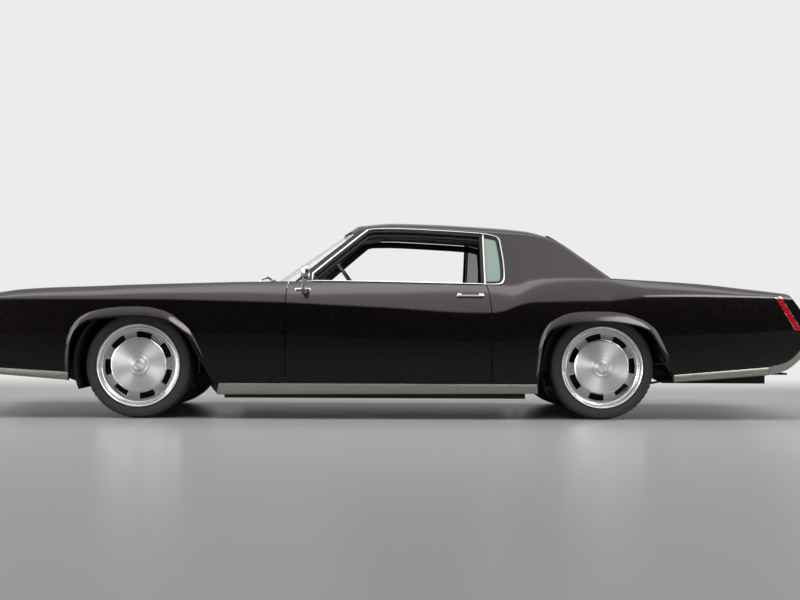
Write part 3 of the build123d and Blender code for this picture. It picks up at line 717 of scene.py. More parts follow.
@dataclass(frozen=True)
class Metal(Finish):
    """A bright metal, plain or brushed along one axis."""

    colour: tuple = (0.8, 0.8, 0.8, 1)
    rough: float = 0.05
    spread: float = 0.04
    grain: tuple = (1, 1, 1)
    scale: float = 30.0
    relief: float = 0.0
    metallic: float = 1.0

    def shade(self, board: Board) -> Signal:
        """Polish that varies a little, with brushed grain where there is a relief."""
        marks = board.noise(self.scale, 4, board.where(self.grain))
        smudge = board.noise(7, 2)
        sockets = {
            "Base_Color": board.mix(smudge, self.colour, tuple(c * 0.93 for c in self.colour[:3]) + (1,)),
            "Metallic": self.metallic,
            "Roughness": marks * self.spread + self.rough,
        }
        if self.relief:
            sockets["Normal"] = board.bump(marks, self.relief)
        return board.surface(**sockets)


@dataclass(frozen=True)
class TurnedMetal(Finish):
    """Aluminium faced on a lathe, with fine rings about the wheel's centre."""

    centre: tuple = (0, 0, 0)
    colour: tuple = (0.86, 0.86, 0.87, 1)
    rings: float = 2600.0
    relief: float = 0.00002
    rough: float = 0.47

    def shade(self, board: Board) -> Signal:
        """Rings whose height and polish vary from one to the next, and spread the light across them."""
        where = board.where(centre=self.centre)
        parts = {axis: board.node("ShaderNodeSeparateXYZ", {}, {0: where}, axis) for axis in ("X", "Z")}
        radius = (parts["X"] * parts["X"] + parts["Z"] * parts["Z"]) ** 0.5
        line = board.node("ShaderNodeCombineXYZ", {}, {0: radius * self.rings})
        fine = board.node("ShaderNodeTexNoise", {}, {"Vector": line, "Scale": 1.0, "Detail": 2.0})
        broad = board.node("ShaderNodeTexNoise", {}, {"Vector": line, "Scale": 0.06, "Detail": 1.0})
        colour = board.mix(broad, self.colour, tuple(c * 0.86 for c in self.colour[:3]) + (1,))
        grooves = board.node("ShaderNodeTangent", {"direction_type": "RADIAL", "axis": "Y"})
        return board.surface(
            Base_Color=colour, Metallic=0.75, Roughness=fine * 0.1 + self.rough, Anisotropic=0.92,
            Anisotropic_Rotation=0.25, Tangent=grooves, Normal=board.bump(fine + broad * 0.6, self.relief),
        )


@dataclass(frozen=True)
class Rubber(Finish):
    """Black rubber or moulded plastic, with a fine matt skin."""

    colour: tuple = tone(24, 24, 25)
    worn: tuple = tone(46, 45, 44)
    rough: float = 0.55
    pores: float = 700.0
    relief: float = 0.00006
    dust: float = 5.0

    def shade(self, board: Board) -> Signal:
        """A pored skin with dusty patches."""
        pores = board.noise(self.pores, 3)
        patch = board.noise(self.dust, 4)
        return board.surface(
            Base_Color=board.mix(patch ** 2.0, self.colour, self.worn),
            Roughness=pores * 0.14 + patch * 0.1 + self.rough, Specular_IOR_Level=0.3,
            Normal=board.bump(pores, self.relief),
        )


@dataclass(frozen=True)
class Hide(Finish):
    """Upholstery leather with pebbled grain and creases."""

    colour: tuple = tone(22, 26, 36)
    light: tuple = tone(40, 46, 60)
    grain: float = 420.0

    def shade(self, board: Board) -> Signal:
        """Pebbles from cell edges, over wider creases."""
        cells = board.node("ShaderNodeTexVoronoi", {"feature": "DISTANCE_TO_EDGE"}, {
            "Vector": board.where(), "Scale": self.grain,
        })
        crease = board.noise(26, 4)
        height = board.node("ShaderNodeMath", {"operation": "MINIMUM"}, {0: cells * 4.0, 1: 1.0})
        return board.surface(
            Base_Color=board.mix(crease ** 1.5, self.colour, self.light),
            Roughness=0.36 + crease * 0.2, Normal=board.bump(height + crease * 0.7, 0.0004),
        )


@dataclass(frozen=True)
class Cloth(Finish):
    """Woven or looped fabric, as on a headliner or a carpet."""

    colour: tuple = tone(60, 60, 64)
    dark: tuple = tone(38, 38, 42)
    loops: float = 900.0
    relief: float = 0.0008

    def shade(self, board: Board) -> Signal:
        """Loops with soft light at their edges."""
        loops = board.node("ShaderNodeTexVoronoi", {}, {"Vector": board.where(), "Scale": self.loops})
        patch = board.noise(9, 3)
        return board.surface(
            Base_Color=board.mix(loops * 0.7 + patch * 0.3, self.colour, self.dark), Roughness=0.9,
            Sheen_Weight=0.3, Normal=board.bump(loops, self.relief),
        )


@dataclass(frozen=True)
class Glass(Finish):
    """Clear or tinted sheet glass."""

    colour: tuple = (0.93, 0.96, 0.94, 1)
    film: float = 0.0

    def shade(self, board: Board) -> Signal:
        """Clean glass with the faintest film of dust."""
        film = board.noise(12, 3)
        return board.surface(
            Base_Color=self.colour, Roughness=film ** 3.0 * 0.06 + self.film, IOR=1.45,
            Transmission_Weight=1.0,
        )


@dataclass(frozen=True)
class LampLens(Finish):
    """Red moulded lens, ribbed inside, with a faint painted glow."""

    colour: tuple = tone(190, 6, 22)
    # Painted shade: the darker red of the rib bands.
    deep: tuple = tone(110, 0, 10)
    pitch: float = 0.02

    def shade(self, board: Board) -> Signal:
        """Cross ribs, coloured alternately bright and deep red as painted highlights and shade, as if they catch the
        light one after another.
        """
        height = board.node("ShaderNodeSeparateXYZ", {}, {0: board.where()}, "Z")
        wave = board.node("ShaderNodeMath", {"operation": "SINE"}, {0: height * (math.tau / self.pitch)})
        ribs = wave * 0.5 + 0.5
        # Painted highlight and shade: the base colour swings between bright and deep red with each rib; the ribs also
        # shape the roughness and the bump.
        return board.surface(
            Base_Color=board.mix(ribs, self.deep, self.colour), Roughness=0.12 + ribs * 0.08,
            # Painted glow: the unlit lens gives off a faint red light of its own.
            Coat_Weight=1.0, Coat_Roughness=0.03, Emission_Color=self.colour, Emission_Strength=0.25,
            Normal=board.bump(ribs, 0.0006),
        )


PAINT = BodyPaint()
CHROME = Metal("chrome_plate", "chrome", (0.78, 0.78, 0.79, 1), 0.03, 0.05)
NICKEL = Metal(
    "satin_nickel", "satin_nickel", (0.64, 0.61, 0.54, 1), 0.26, 0.1, (0.05, 1, 1), 900.0, 0.000004, 0.6,
)
GRILLE = Metal("grille_metal", "grille_metal", (0.62, 0.62, 0.63, 1), 0.12, 0.1)
EXHAUST = Metal("exhaust_steel", "exhaust_steel", (0.42, 0.4, 0.38, 1), 0.3, 0.25, (1, 1, 1), 40.0, 0.00002)
TANK = Metal("tank_steel", "tank_steel", (0.3, 0.3, 0.3, 1), 0.4, 0.25, (1, 1, 1), 30.0, 0.00003)
ENGINE = Metal("engine_metal", "engine_metal", (0.2, 0.2, 0.2, 1), 0.42, 0.2, (1, 1, 1), 180.0, 0.0001)
POLISHED = Metal("polished_rim", "machined_aluminium", (0.92, 0.92, 0.93, 1), 0.12, 0.08, metallic=0.78)
CHASSIS = Rubber(
    "chassis_black", "chassis_black", tone(20, 20, 21), tone(44, 42, 40), 0.45, 220.0, 0.00012, 6.0,
)
UNDERBODY = Rubber(
    "underbody_coat", "underbody", tone(18, 18, 18), tone(38, 36, 33), 0.75, 160.0, 0.0006, 4.0,
)
TYRE = Rubber("tyre_rubber", "tyre_rubber", tone(7, 7, 8), tone(14, 14, 14), 0.6, 900.0, 0.00005, 9.0)
SEAL = Rubber("black_trim", "trim_black", tone(14, 14, 15), tone(26, 26, 27), 0.42, 500.0, 0.00004, 8.0)
DASH = Rubber("dash_plastic", "dash_plastic", tone(26, 30, 40), tone(40, 44, 56), 0.42, 600.0, 0.00012, 6.0)
RIM_PLASTIC = Rubber(
    "wheel_rim_plastic", "wheel_rim_plastic", tone(18, 20, 26), tone(30, 33, 42), 0.24, 300.0, 0.00001, 9.0,
)
LEATHER = Hide("seat_leather", "seat_leather")
HEADLINER = Cloth("headliner", "dash_plastic", tone(104, 104, 110), tone(80, 80, 86), 1400.0, 0.0003)
CARPET = Cloth("carpet", "dash_plastic", tone(26, 29, 38), tone(14, 16, 22), 380.0, 0.0025)
CLEAR = Glass("clear_glass", "clear_glass")
TINTED = Glass("tinted_glass", "tinted_glass", (0.66, 0.72, 0.69, 1))
MIRROR = Metal("mirror_glass", "chrome", (0.9, 0.9, 0.9, 1), 0.0, 0.01)
LENS = LampLens("red_lens", "lamp_red")


# Body

@dataclass(frozen=True)
class BodyLines:
    """The curves that the whole body side is drawn from."""

    nose: float = -1173.0
    tail: float = 4440.0
    waist_z: float = 532.0
    hem_z: float = 215.0
    flange_y: float = 790.0
    flange_drop: float = 9.0
    crown: float = 7.0
    skin: float = 14.0
    peak_soft: float = 15.0
    crease_soft: float = 11.0
    peak_z: Curve = Curve((
        (-1173, 797), (-906, 819), (-788, 836), (-578, 851), (-322, 861), (-52, 873), (276, 884),
        (781, 899), (1130, 904), (2239, 890), (2410, 888), (2500, 903), (2580, 926), (2690, 938),
        (2862, 940), (3079, 936), (3328, 923), (3683, 902), (4031, 867), (4254, 843), (4440, 822),
    ))
    peak_y: Curve = Curve((
        (-1173, 868), (-906, 880), (0, 880), (780, 862), (1130, 848), (2300, 846), (2410, 850),
        (2580, 862), (3080, 878), (3680, 880), (4254, 872), (4440, 866),
    ))
    crease_z: Curve = Curve((
        (-1173, 770), (-578, 773), (144, 775), (407, 771), (670, 766), (965, 760), (1313, 744),
        (1628, 730), (1956, 709), (2150, 700), (2311, 700), (2390, 712), (2462, 740), (2508, 757),
        (2587, 771), (2777, 776), (3092, 782), (3210, 797), (3328, 811), (3683, 817), (4149, 815),
        (4440, 796),
    ))
    crease_y: Curve = Curve((
        (-1173, 930), (-906, 950), (-450, 965), (0, 972), (965, 976), (1628, 976), (2311, 978),
        (2587, 974), (2777, 972), (3092, 970), (3683, 956), (4149, 934), (4440, 912),
    ))
    waist_y: Curve = Curve((
        (-1173, 938), (-906, 966), (-450, 980), (0, 985), (965, 988), (2311, 990), (2777, 992),
        (3092, 990), (3683, 974), (4149, 948), (4440, 922),
    ))
    hem_y: Curve = Curve((
        (-1173, 905), (-906, 930), (-450, 948), (0, 955), (965, 958), (2311, 960), (2777, 962),
        (3092, 960), (3683, 938), (4149, 905), (4440, 870),
    ))

    def flange_z(self, x: float) -> float:
        """Height of the panel flange just inboard of the fender's peak."""
        return self.peak_z(x) - self.flange_drop

    def side_y(self, x: float, z: float) -> float:
        """How far out the side stands at a station and a height below the crease."""
        y1, z1 = self.crease_y(x), self.crease_z(x)
        y2, y3 = self.waist_y(x), self.hem_y(x)
        slope = (y2 - y1) / (self.waist_z - z1)
        bend = ((y3 - y1) / (self.hem_z - z1) - slope) / (self.hem_z - self.waist_z)
        return y1 + slope * (z - z1) + bend * (z - z1) * (z - self.waist_z)

    def section(self, x: float, low: float | None = None) -> list[Vector]:
        """The outer section at one station, from the flange over the peak and down the side.

        Args:
            x: The station.
            low: The height at which it ends, or the hem's.

        Returns:
            Points, closest together where the section turns.
        """
        low = self.hem_z if low is None else low
        peak = np.array([self.peak_y(x), self.peak_z(x)])
        crease = np.array([self.crease_y(x), self.crease_z(x)])
        flange = np.array([self.flange_y, self.flange_z(x)])
        middle = (peak + crease) / 2 + np.array([1.0, 0.6]) * self.crown
        pull = 2 * middle - (peak + crease) / 2
        top = [
            flange + (peak - flange) * t + np.array([0, 3.0 * math.sin(math.pi * t)]) for t in spread(0, 1, 9)
        ]
        shoulder = [
            peak * (1 - t) ** 2 + pull * 2 * t * (1 - t) + crease * t * t for t in spread(0, 1, 25)
        ]
        side = [np.array([self.side_y(x, z), z]) for z in spread(crease[1], low, 60)]
        line = np.array(top + shoulder[1:] + side[1:])
        steps = np.linalg.norm(np.diff(line, axis=0), axis=1)
        to_peak, to_crease, whole = steps[:8].sum(), steps[:32].sum(), steps.sum()
        near = (-1, -0.7, -0.42, -0.2, 0, 0.2, 0.42, 0.7, 1)
        places = spread(0, to_peak - self.peak_soft * 1.3, 6)[:-1]
        places += [to_peak + self.peak_soft * n for n in near]
        places += spread(to_peak + self.peak_soft * 1.4, to_crease - self.crease_soft * 1.4, 8)
        places += [to_crease + self.crease_soft * n for n in near]
        places += spread(to_crease + self.crease_soft * 1.5, whole, 34)
        rounded_near = [
            softened(line, [p], self.peak_soft if abs(p - to_peak) < 40 else self.crease_soft)[0]
            for p in places
        ]
        return [Vector((x, y, z)) for y, z in rounded_near]

    def hull(self, x0: float, x1: float, grow: float = 0.0, low: float = 120.0, pitch: float = 16.0) -> Form:
        """The whole width of the body between two stations, as a closed solid.

        Args:
            x0: The first station.
            x1: The last station.
            grow: How far its surface stands outside the skin, or inside it if negative.
            low: The height of its flat underside.
            pitch: The spacing of its sections.

        Returns:
            The closed solid.
        """
        columns = []
        for x in spread(x0, x1, max(3, round((x1 - x0) / pitch))):
            line = offset([(p.y, p.z) for p in self.section(x)], grow)
            right = [Vector((x, y, z)) for y, z in [*line, (line[-1][0], low)]]
            left = [Vector((x, -p.y, p.z)) for p in reversed(right)]
            columns.append([*right, *left, right[0]])
        return Form.laid(columns, weld=True).capped().outward()

    def strip(self, top: Sequence[Pair], foot: Sequence[Pair], lift: float = 5.0, bulge: float = 4.0) -> Form:
        """A moulded strip on the side, between two lines of (x, z) points that run together."""
        shape = [
            (0.0, -14), (0.0, lift * 0.2), (0.02, lift * 0.7), (0.07, lift), (0.2, lift + bulge * 0.5),
            (0.4, lift + bulge * 0.92), (0.6, lift + bulge), (0.8, lift + bulge * 0.8), (0.93, lift),
            (0.98, lift * 0.7), (1.0, lift * 0.2), (1.0, -14), (0.0, -14),
        ]
        columns = []
        for (x0, z0), (x1, z1) in zip(top, foot):
            column = []
            for t, out in shape:
                x, z = x0 + (x1 - x0) * t, z0 + (z1 - z0) * t
                column.append((x, self.side_y(x, max(z, 200)) + out, z))
            columns.append(column)
        return Form.laid(columns, weld=True).capped().outward()

    def skin_sheet(self, x0: float, x1: float, pitch: float = 14.0) -> Form:
        """The outer surface of the right side between two stations."""
        count = max(3, round((x1 - x0) / pitch))
        return Form.laid([self.section(x) for x in spread(x0, x1, count)]).facing((0, 1, 0))


@dataclass(frozen=True)
class Arch:
    """A wheel opening in the side, with its rolled and flared lip."""

    edge: tuple[Pair, ...]
    lip: tuple[Pair, ...]
    rise: float = 28.0
    turn_in: float = 42.0
    soft: float = 5.0

    def rim(self) -> list[Pair]:
        """The opening's edge as a fine curve."""
        return spline(self.edge, 8)

    def cutter(self, grow: float = 2.5) -> Form:
        """The space of the opening, open at the bottom, a little larger than its edge."""
        rim = self.rim()
        centre_x = (self.edge[0][0] + self.edge[-1][0]) / 2
        outline = []
        for x, z in rim:
            away = Vector((x - centre_x, z - AXLE_Z)).normalized() * grow
            outline.append((x + away.x, z + max(away.y, 0)))
        outline += [(self.edge[-1][0] + 60, 60), (self.edge[0][0] + 10, 60)]
        return Form.prism(outline, 700, 1200)

    def flare(self, lines: BodyLines) -> Form:
        """The lip, from where it leaves the side out to its edge and back in under it.

        Args:
            lines: The body's curves.

        Returns:
            One smooth strip along the whole opening.
        """
        rim = self.rim()
        lip = [Vector(p) for p in spline(self.lip, 8)]
        columns = []
        for i, (x, z) in enumerate(rim):
            here = Vector((x, z))
            before, after = Vector(rim[max(i - 1, 0)]), Vector(rim[min(i + 1, len(rim) - 1)])
            along = (after - before).normalized()
            out = Vector((-along.y, along.x))
            gaps = [((p - here).dot(out), abs((p - here).dot(along))) for p in lip]
            reach, miss = min(gaps, key=lambda g: g[1] - min(g[0], 0) * 9)
            share = max(0.0, 1 - max(0.0, miss - 12) / 90)
            share = share * share * (3 - 2 * share)
            place = i / (len(rim) - 1)
            fade = max(0.0, math.sin(math.pi * min(1, max(0, (place - 0.04) / 0.9)))) ** 0.55
            width = 12 + (max(reach, 14) - 12) * share
            lift = 0.5 + self.rise * fade * share
            column = []
            for t in (0.0, 0.08, 0.2, 0.35, 0.5, 0.65, 0.8, 0.92):
                spot = here + out * (width * (1 - t) + self.soft * t)
                swell = lift * (t + 0.1 * math.sin(math.pi * t)) - 1.2 * (1 - t) ** 3
                column.append((spot.x, lines.side_y(spot.x, spot.y) + swell, spot.y))
            tip = lines.side_y(x, z) + lift
            for turn in (25, 50, 75, 90):
                angle = math.radians(turn)
                spot = here + out * self.soft * (1 - math.sin(angle))
                column.append((spot.x, tip - self.soft * (1 - math.cos(angle)), spot.y))
            column.append((x, tip - self.turn_in * 0.5, z))
            column.append((x, lines.side_y(x, z) - self.turn_in, z))
            columns.append(column)
        return Form.laid(columns).facing((0, 1, 0))


@dataclass(frozen=True)
class SidePanels:
    """Front fenders, doors and rear quarters."""

    lines: BodyLines = BodyLines()
    front_arch: Arch = Arch(
        ((-443, 247), (-437, 330), (-431, 450), (-413, 530), (-384, 580), (-320, 626), (-203, 648),
         (-80, 656), (32, 657), (120, 648), (184, 634), (240, 606), (289, 571), (337, 520),
         (430, 350), (530, 168)),
        ((-462, 330), (-459, 450), (-440, 545), (-402, 620), (-331, 678), (-225, 712), (-90, 727),
         (40, 728), (120, 717), (205, 690), (266, 650), (320, 603), (368, 540), (448, 372)),
    )
    rear_arch: Arch = Arch(
        ((2613, 184), (2624, 330), (2637, 465), (2655, 530), (2680, 570), (2718, 597), (2800, 618),
         (2900, 630), (3033, 635), (3164, 630), (3250, 618), (3315, 596), (3368, 546), (3446, 405),
         (3525, 250)),
        ((2603, 330), (2614, 470), (2634, 552), (2670, 616), (2712, 655), (2790, 694), (2890, 711),
         (3030, 714), (3160, 705), (3255, 678), (3335, 638), (3395, 583), (3466, 443)),
    )
    fender_outline: tuple[Pair, ...] = (
        (957, 233), (957, 787), (963, 860), (975, 919), (975, 960), (-1178, 960), (-1173, 790),
        (-1152, 600), (-1128, 440), (-1110, 400), (-1060, 350), (-897, 342), (-897, 325),
        (-443, 300), (-300, 233),
    )
    door_outline: tuple[Pair, ...] = (
        (963, 238), (963, 787), (969, 860), (981, 919), (981, 960), (2276, 960), (2280, 882),
        (2295, 842), (2299, 790), (2305, 698), (2305, 238),
    )
    quarter_outline: tuple[Pair, ...] = (
        (2311, 233), (2311, 698), (2305, 790), (2301, 842), (2286, 882), (2282, 1000), (4200, 1000),
        (4254, 845), (4290, 831), (4346, 755), (4440, 610), (4436, 600), (4400, 520), (4346, 450),
        (4266, 385), (4149, 355), (4149, 350), (3510, 299), (3000, 233),
    )
    lamp: tuple[Pair, ...] = ((4189, 818), (4228, 818), (4360, 598), (4320, 598))

    def build(self, car: Car, house: "Greenhouse") -> None:
        """Makes the six big side panels."""
        self._skin_panel(car, "front_fender", self.fender_outline, (-1190, 990), self.front_arch, house)
        self._skin_panel(car, "quarter_panel", self.quarter_outline, (2270, 4446), self.rear_arch, house)
        self._doors(car)

    def _skin_panel(self, car: Car, node: str, outline: Sequence[Pair], span: Pair, arch: Arch,
                    house: "Greenhouse") -> None:
        """One sheet panel with a wheel opening, on both sides."""
        shine = self.lines.skin_sheet(*span)
        panel = shine.copy().thick(self.lines.skin)
        panel.cut(Form.prism(outline, 600, 1100), Lie.INSIDE)
        panel.cut(arch.cutter())
        panel.cut(house.solid())
        if node == "quarter_panel":
            panel.cut(Form.prism(self.lamp, 700, 1100))
        flare = arch.flare(self.lines)
        for side in Side:
            name = f"{node}_{side.word}"
            car.piece(f"{name}_skin", panel.on(side), PAINT, replaces=[name], shine=shine.on(side))
            car.piece(f"{name}_flare", flare.on(side), PAINT, smooth=60)

    def _doors(self, car: Car) -> None:
        """The doors, as thick as the real ones, with their trimmed inner faces."""
        shine = self.lines.skin_sheet(940, 2330)
        columns = []
        for x in spread(940, 2330, 100):
            outer = self.lines.section(x)
            top = self.lines.flange_z(x)
            inner = [Vector((x, 850 - 90 * t, 215 + (top - 215) * t)) for t in spread(0, 1, 14)]
            columns.append([*outer, *inner, outer[0]])
        blank = Form.laid(columns, weld=True).capped().outward()
        blank.cut(Form.prism(self.door_outline, 600, 1100), Lie.INSIDE)
        for side in Side:
            name = f"door_{side.word}"
            car.piece(f"{name}_shell", blank.on(side), PAINT, name, [name], shine=shine.on(side))


@dataclass(frozen=True)
class Greenhouse:
    """The roof, its pillars and the glass, drawn from one cone and one crown."""

    foot_z: float = 880.0
    head_z: float = 1262.0
    top_z: float = 1362.0
    wall: float = 26.0
    edge_soft: float = 40.0
    pillar_soft: float = 16.0
    drop: float = 91.0
    half: float = 900.0
    back_span: Pair = (2650, 3400)
    wall_up: tuple = (0, 0.876, 0.482)
    crown_z: Curve = Curve((
        (700, 1210), (1344, 1306), (1450, 1322), (1683, 1341), (1934, 1336), (2246, 1322),
        (2584, 1296), (2720, 1262), (2776, 1240), (3500, 1010),
    ))
    window: tuple[Pair, ...] = (
        (1136, 860), (1133, 950), (1480, 1238), (1510, 1254), (1557, 1262), (1738, 1263),
        (2104, 1246), (2273, 1234), (2350, 1220), (2373, 1206), (2384, 1180), (2396, 1098),
        (2402, 973), (2393, 918), (2366, 895), (2330, 860),
    )
    windshield: tuple[Pair, ...] = (
        (1000, 860), (1018, 900), (1073, 950), (1240, 1088), (1400, 1220), (1402, 1240), (1384, 1252),
    )

    def corners(self, z: float, inset: float) -> dict[str, Pair]:
        """The plan's corner points at a height, moved inwards by the inset."""
        share = (z - self.foot_z) / (self.head_z - self.foot_z)

        def mix(foot: float, head: float) -> float:
            return foot + (head - foot) * share

        side = inset * 1.14
        return {
            "front": (mix(919, 1414) + inset * 1.7, mix(826, 618) - side),
            "nose": (mix(789, 1344) + inset * 1.7, 0.0),
            "waist": (2000.0, mix(842, 632) - side),
            "rear": (mix(3218, 2706) - inset * 1.55, mix(770, 590) - side),
            "tail": (mix(3288, 2776) - inset * 1.55, 0.0),
        }

    def crown(self, x: float, y: float, inset: float = 0.0) -> float:
        """The height of the roof's crown over a point of the plan."""
        radius = (self.half ** 2 + self.drop ** 2) / (2 * self.drop)
        return self.crown_z(x) - inset - radius + math.sqrt(radius ** 2 - y ** 2)

    @staticmethod
    def arc(start: Pair, middle: Pair, end: Pair, count: int) -> list[Pair]:
        """Points on the circle through three points, from the first to the last."""
        (ax, ay), (bx, by), (cx, cy) = start, middle, end
        d = 2 * (ax * (by - cy) + bx * (cy - ay) + cx * (ay - by))
        sa, sb, sc = ax * ax + ay * ay, bx * bx + by * by, cx * cx + cy * cy
        ux = (sa * (by - cy) + sb * (cy - ay) + sc * (ay - by)) / d
        uy = (sa * (cx - bx) + sb * (ax - cx) + sc * (bx - ax)) / d
        first = math.atan2(ay - uy, ax - ux)
        half_way = math.remainder(math.atan2(by - uy, bx - ux) - first, math.tau)
        rest = math.remainder(math.atan2(cy - uy, cx - ux) - first - half_way, math.tau)
        radius = math.hypot(ax - ux, ay - uy)
        angles = [first + (half_way + rest) * t for t in spread(0, 1, count)]
        return [(ux + radius * math.cos(a), uy + radius * math.sin(a)) for a in angles]

    def ring(self, z: float, inset: float) -> np.ndarray:
        """The plan outline at a height, closed, from the windshield's middle round to the left."""
        c = self.corners(z, inset)
        (fx, fy), (wx, wy), (rx, ry) = c["front"], c["waist"], c["rear"]
        front = self.arc((fx, -fy), c["nose"], (fx, fy), 41)
        right = self.arc((fx, fy), (wx, wy), (rx, ry), 81)
        rear = self.arc((rx, ry), c["tail"], (rx, -ry), 37)
        left = [(x, -y) for x, y in reversed(right)]
        return np.array(front[20:] + right[1:] + rear[1:] + left[1:] + front[1:21])

    def side_y(self, x: float, z: float, inset: float = 0.0) -> float:
        """How far out the side wall stands at a station and a height."""
        c = self.corners(z, inset)
        line = np.array(self.arc(c["front"], c["waist"], c["rear"], 41))
        return float(np.interp(x, line[:, 0], line[:, 1]))

    def front_x(self, y: float, z: float, inset: float = 0.0) -> float:
        """The station of the windshield at a distance from the middle and a height."""
        c = self.corners(z, inset)
        line = np.array(self.arc(c["nose"], (c["nose"][0] * 0.75 + c["front"][0] * 0.25, c["front"][1] / 2),
                                 c["front"], 21))
        return float(np.interp(abs(y), line[:, 1], line[:, 0]))

    def rear_x(self, y: float, z: float, inset: float = 0.0) -> float:
        """The station of the backlight at a distance from the middle and a height."""
        c = self.corners(z, inset)
        line = np.array(self.arc(c["tail"], (c["tail"][0] * 0.75 + c["rear"][0] * 0.25, c["rear"][1] / 2),
                                 c["rear"], 21))
        return float(np.interp(abs(y), line[:, 1], line[:, 0]))

    def shell(self, inset: float = 0.0, soft: float | None = None) -> Form:
        """The closed surface of walls and roof, open at the foot.

        Args:
            inset: How far inside the outer surface it lies.
            soft: How far the rounding between wall and roof reaches.

        Returns:
            A smooth sheet that faces outwards.
        """
        soft = self.edge_soft if soft is None else soft
        foot, top = self.ring(self.foot_z, inset), self.ring(self.top_z, inset)
        columns = []
        for low, high in zip(foot, top):
            def wall(t: float, low: np.ndarray = low, high: np.ndarray = high) -> np.ndarray:
                plan = low + (high - low) * t
                return np.array([*plan, self.foot_z + (self.top_z - self.foot_z) * t])

            floor, ceiling = 0.0, 1.0
            for _ in range(30):
                half = (floor + ceiling) / 2
                point = wall(half)
                if point[2] < self.crown(point[0], point[1], inset):
                    floor = half
                else:
                    ceiling = half
            edge = wall(floor)
            spine = np.array([min(max(edge[0], 1520), 2600), 0.0])
            over = []
            for t in spread(0, 1, 25)[1:]:
                plan = edge[:2] + (spine - edge[:2]) * t
                over.append(np.array([*plan, self.crown(plan[0], plan[1], inset)]))
            line = np.array([wall(floor * t) for t in spread(0, 1, 16)] + over)
            steps = np.linalg.norm(np.diff(line, axis=0), axis=1)
            to_edge, whole = steps[:15].sum(), steps.sum()
            near = spread(-1, 1, 11)
            reach = min(soft, (whole - to_edge) * 0.5)
            places = spread(0, to_edge - reach * 1.15, 16)
            places += [to_edge + reach * n for n in near]
            places += spread(to_edge + reach * 1.15, whole, 16)
            columns.append(softened(line, places, reach))
        grid = self._rounded_corners(np.array(columns))
        return Form.laid([*grid, grid[0]], weld=True).outward()

    def _rounded_corners(self, grid: np.ndarray) -> np.ndarray:
        """A closed grid of columns with its upright edges rounded in plan."""
        made = grid.copy()
        count = len(grid)
        for row in range(grid.shape[1] - 1):
            ring = np.concatenate([grid[-12:, row], grid[:, row], grid[:12, row]])
            steps = np.linalg.norm(np.diff(ring, axis=0), axis=1)
            lengths = np.concatenate([[0.0], np.cumsum(steps)])
            places = lengths[12:12 + count]
            made[:, row] = softened(ring, places, self.pillar_soft)
        return made

    def solid(self) -> Form:
        """The whole space inside the outer surface, closed at the foot."""
        return self.shell().capped().outward()

    def pane(self, outline: Sequence[Pair], x0: float, x1: float) -> Form:
        """A window outline of (y, z) points pushed along the car from x0 to x1."""
        form = Form()
        face = form.bm.faces.new([form.bm.verts.new((x0, y, z)) for y, z in outline])
        pushed = bmesh.ops.extrude_face_region(form.bm, geom=[face])["geom"]
        moved = [v for v in pushed if isinstance(v, bmesh.types.BMVert)]
        bmesh.ops.translate(form.bm, vec=(x1 - x0, 0, 0), verts=moved)
        return form.outward()

    def opening(self, margin: float, low: float, high: float) -> list[Pair]:
        """The outline of the backlight's opening, seen along the car."""
        low_half, high_half = (self.corners(z, 0)["rear"][1] - margin for z in (low, high))
        return rounded([(-low_half, low), (low_half, low), (high_half, high), (-high_half, high)], 60)

    def build(self, car: Car) -> None:
        """Makes the roof, the headliner and all the glass."""
        shine = self.shell()
        roof = shine.copy().thick(self.wall)
        lining = self.shell(self.wall + 1, 22).thick(4)
        rear = self.opening(60, 860, 1236)
        for form, low in ((roof, 884), (lining, 905)):
            form.cut(Form.box((600, -950, 700), (3500, 950, low)))
            form.cut(Form.prism([(600, 860), *self.windshield, (600, self.windshield[-1][1])], -950, 950))
            form.cut(self.pane(rear, *self.back_span))
            for side in Side:
                form.cut(Form.prism(rounded(self.window, 22), 480, 1000).on(side))
                form.cut(Form.box((969, 700, 870), (2318, 950, 912)).on(side))
        car.piece("roof_skin", roof, PAINT, replaces=["roof"], shine=shine)
        car.piece("headlining", lining, HEADLINER)
        self._panes(car)
        for side in Side:
            self._side_trim(car, side)
        self._windshield_seal(car)
        self._backlight_trim(car, rear)

    def _panes(self, car: Car) -> None:
        """Windshield, backlight and the two fixed quarter windows."""
        sheet = self.shell(8).thick(5)
        under = offset(self.windshield, -6)
        screen = Form.prism([(600, 890), *under, (600, under[-1][1])], -950, 950)
        back = self.pane(self.opening(54, 890, 1242), *self.back_span)
        for name, space in (("windshield", screen), ("backlight", back)):
            car.piece(f"{name}_glass", sheet.copy().cut(space, Lie.INSIDE).outward(), CLEAR, replaces=[name])
        edge = [
            (2285, 885), (2285, 1236), (2368, 1222), (2386, 1212), (2408, 1098), (2412, 973), (2404, 915),
            (2375, 889),
        ]
        quarter = Form.prism(edge, 480, 1000)
        both = sheet.copy().cut(quarter, Lie.INSIDE)
        both.joined(sheet.copy().cut(quarter.on(Side.LEFT), Lie.INSIDE))
        car.piece("quarter_windows", both.outward(), TINTED, replaces=["quarter_glass"])

    def on_wall(self, points: Iterable[Pair], out: float = 0.0) -> list[Vector]:
        """Points of the side view laid on the right-hand wall, or a little outside it."""
        return [Vector((x, self.side_y(x, z) + out, z + out * 0.5)) for x, z in points]

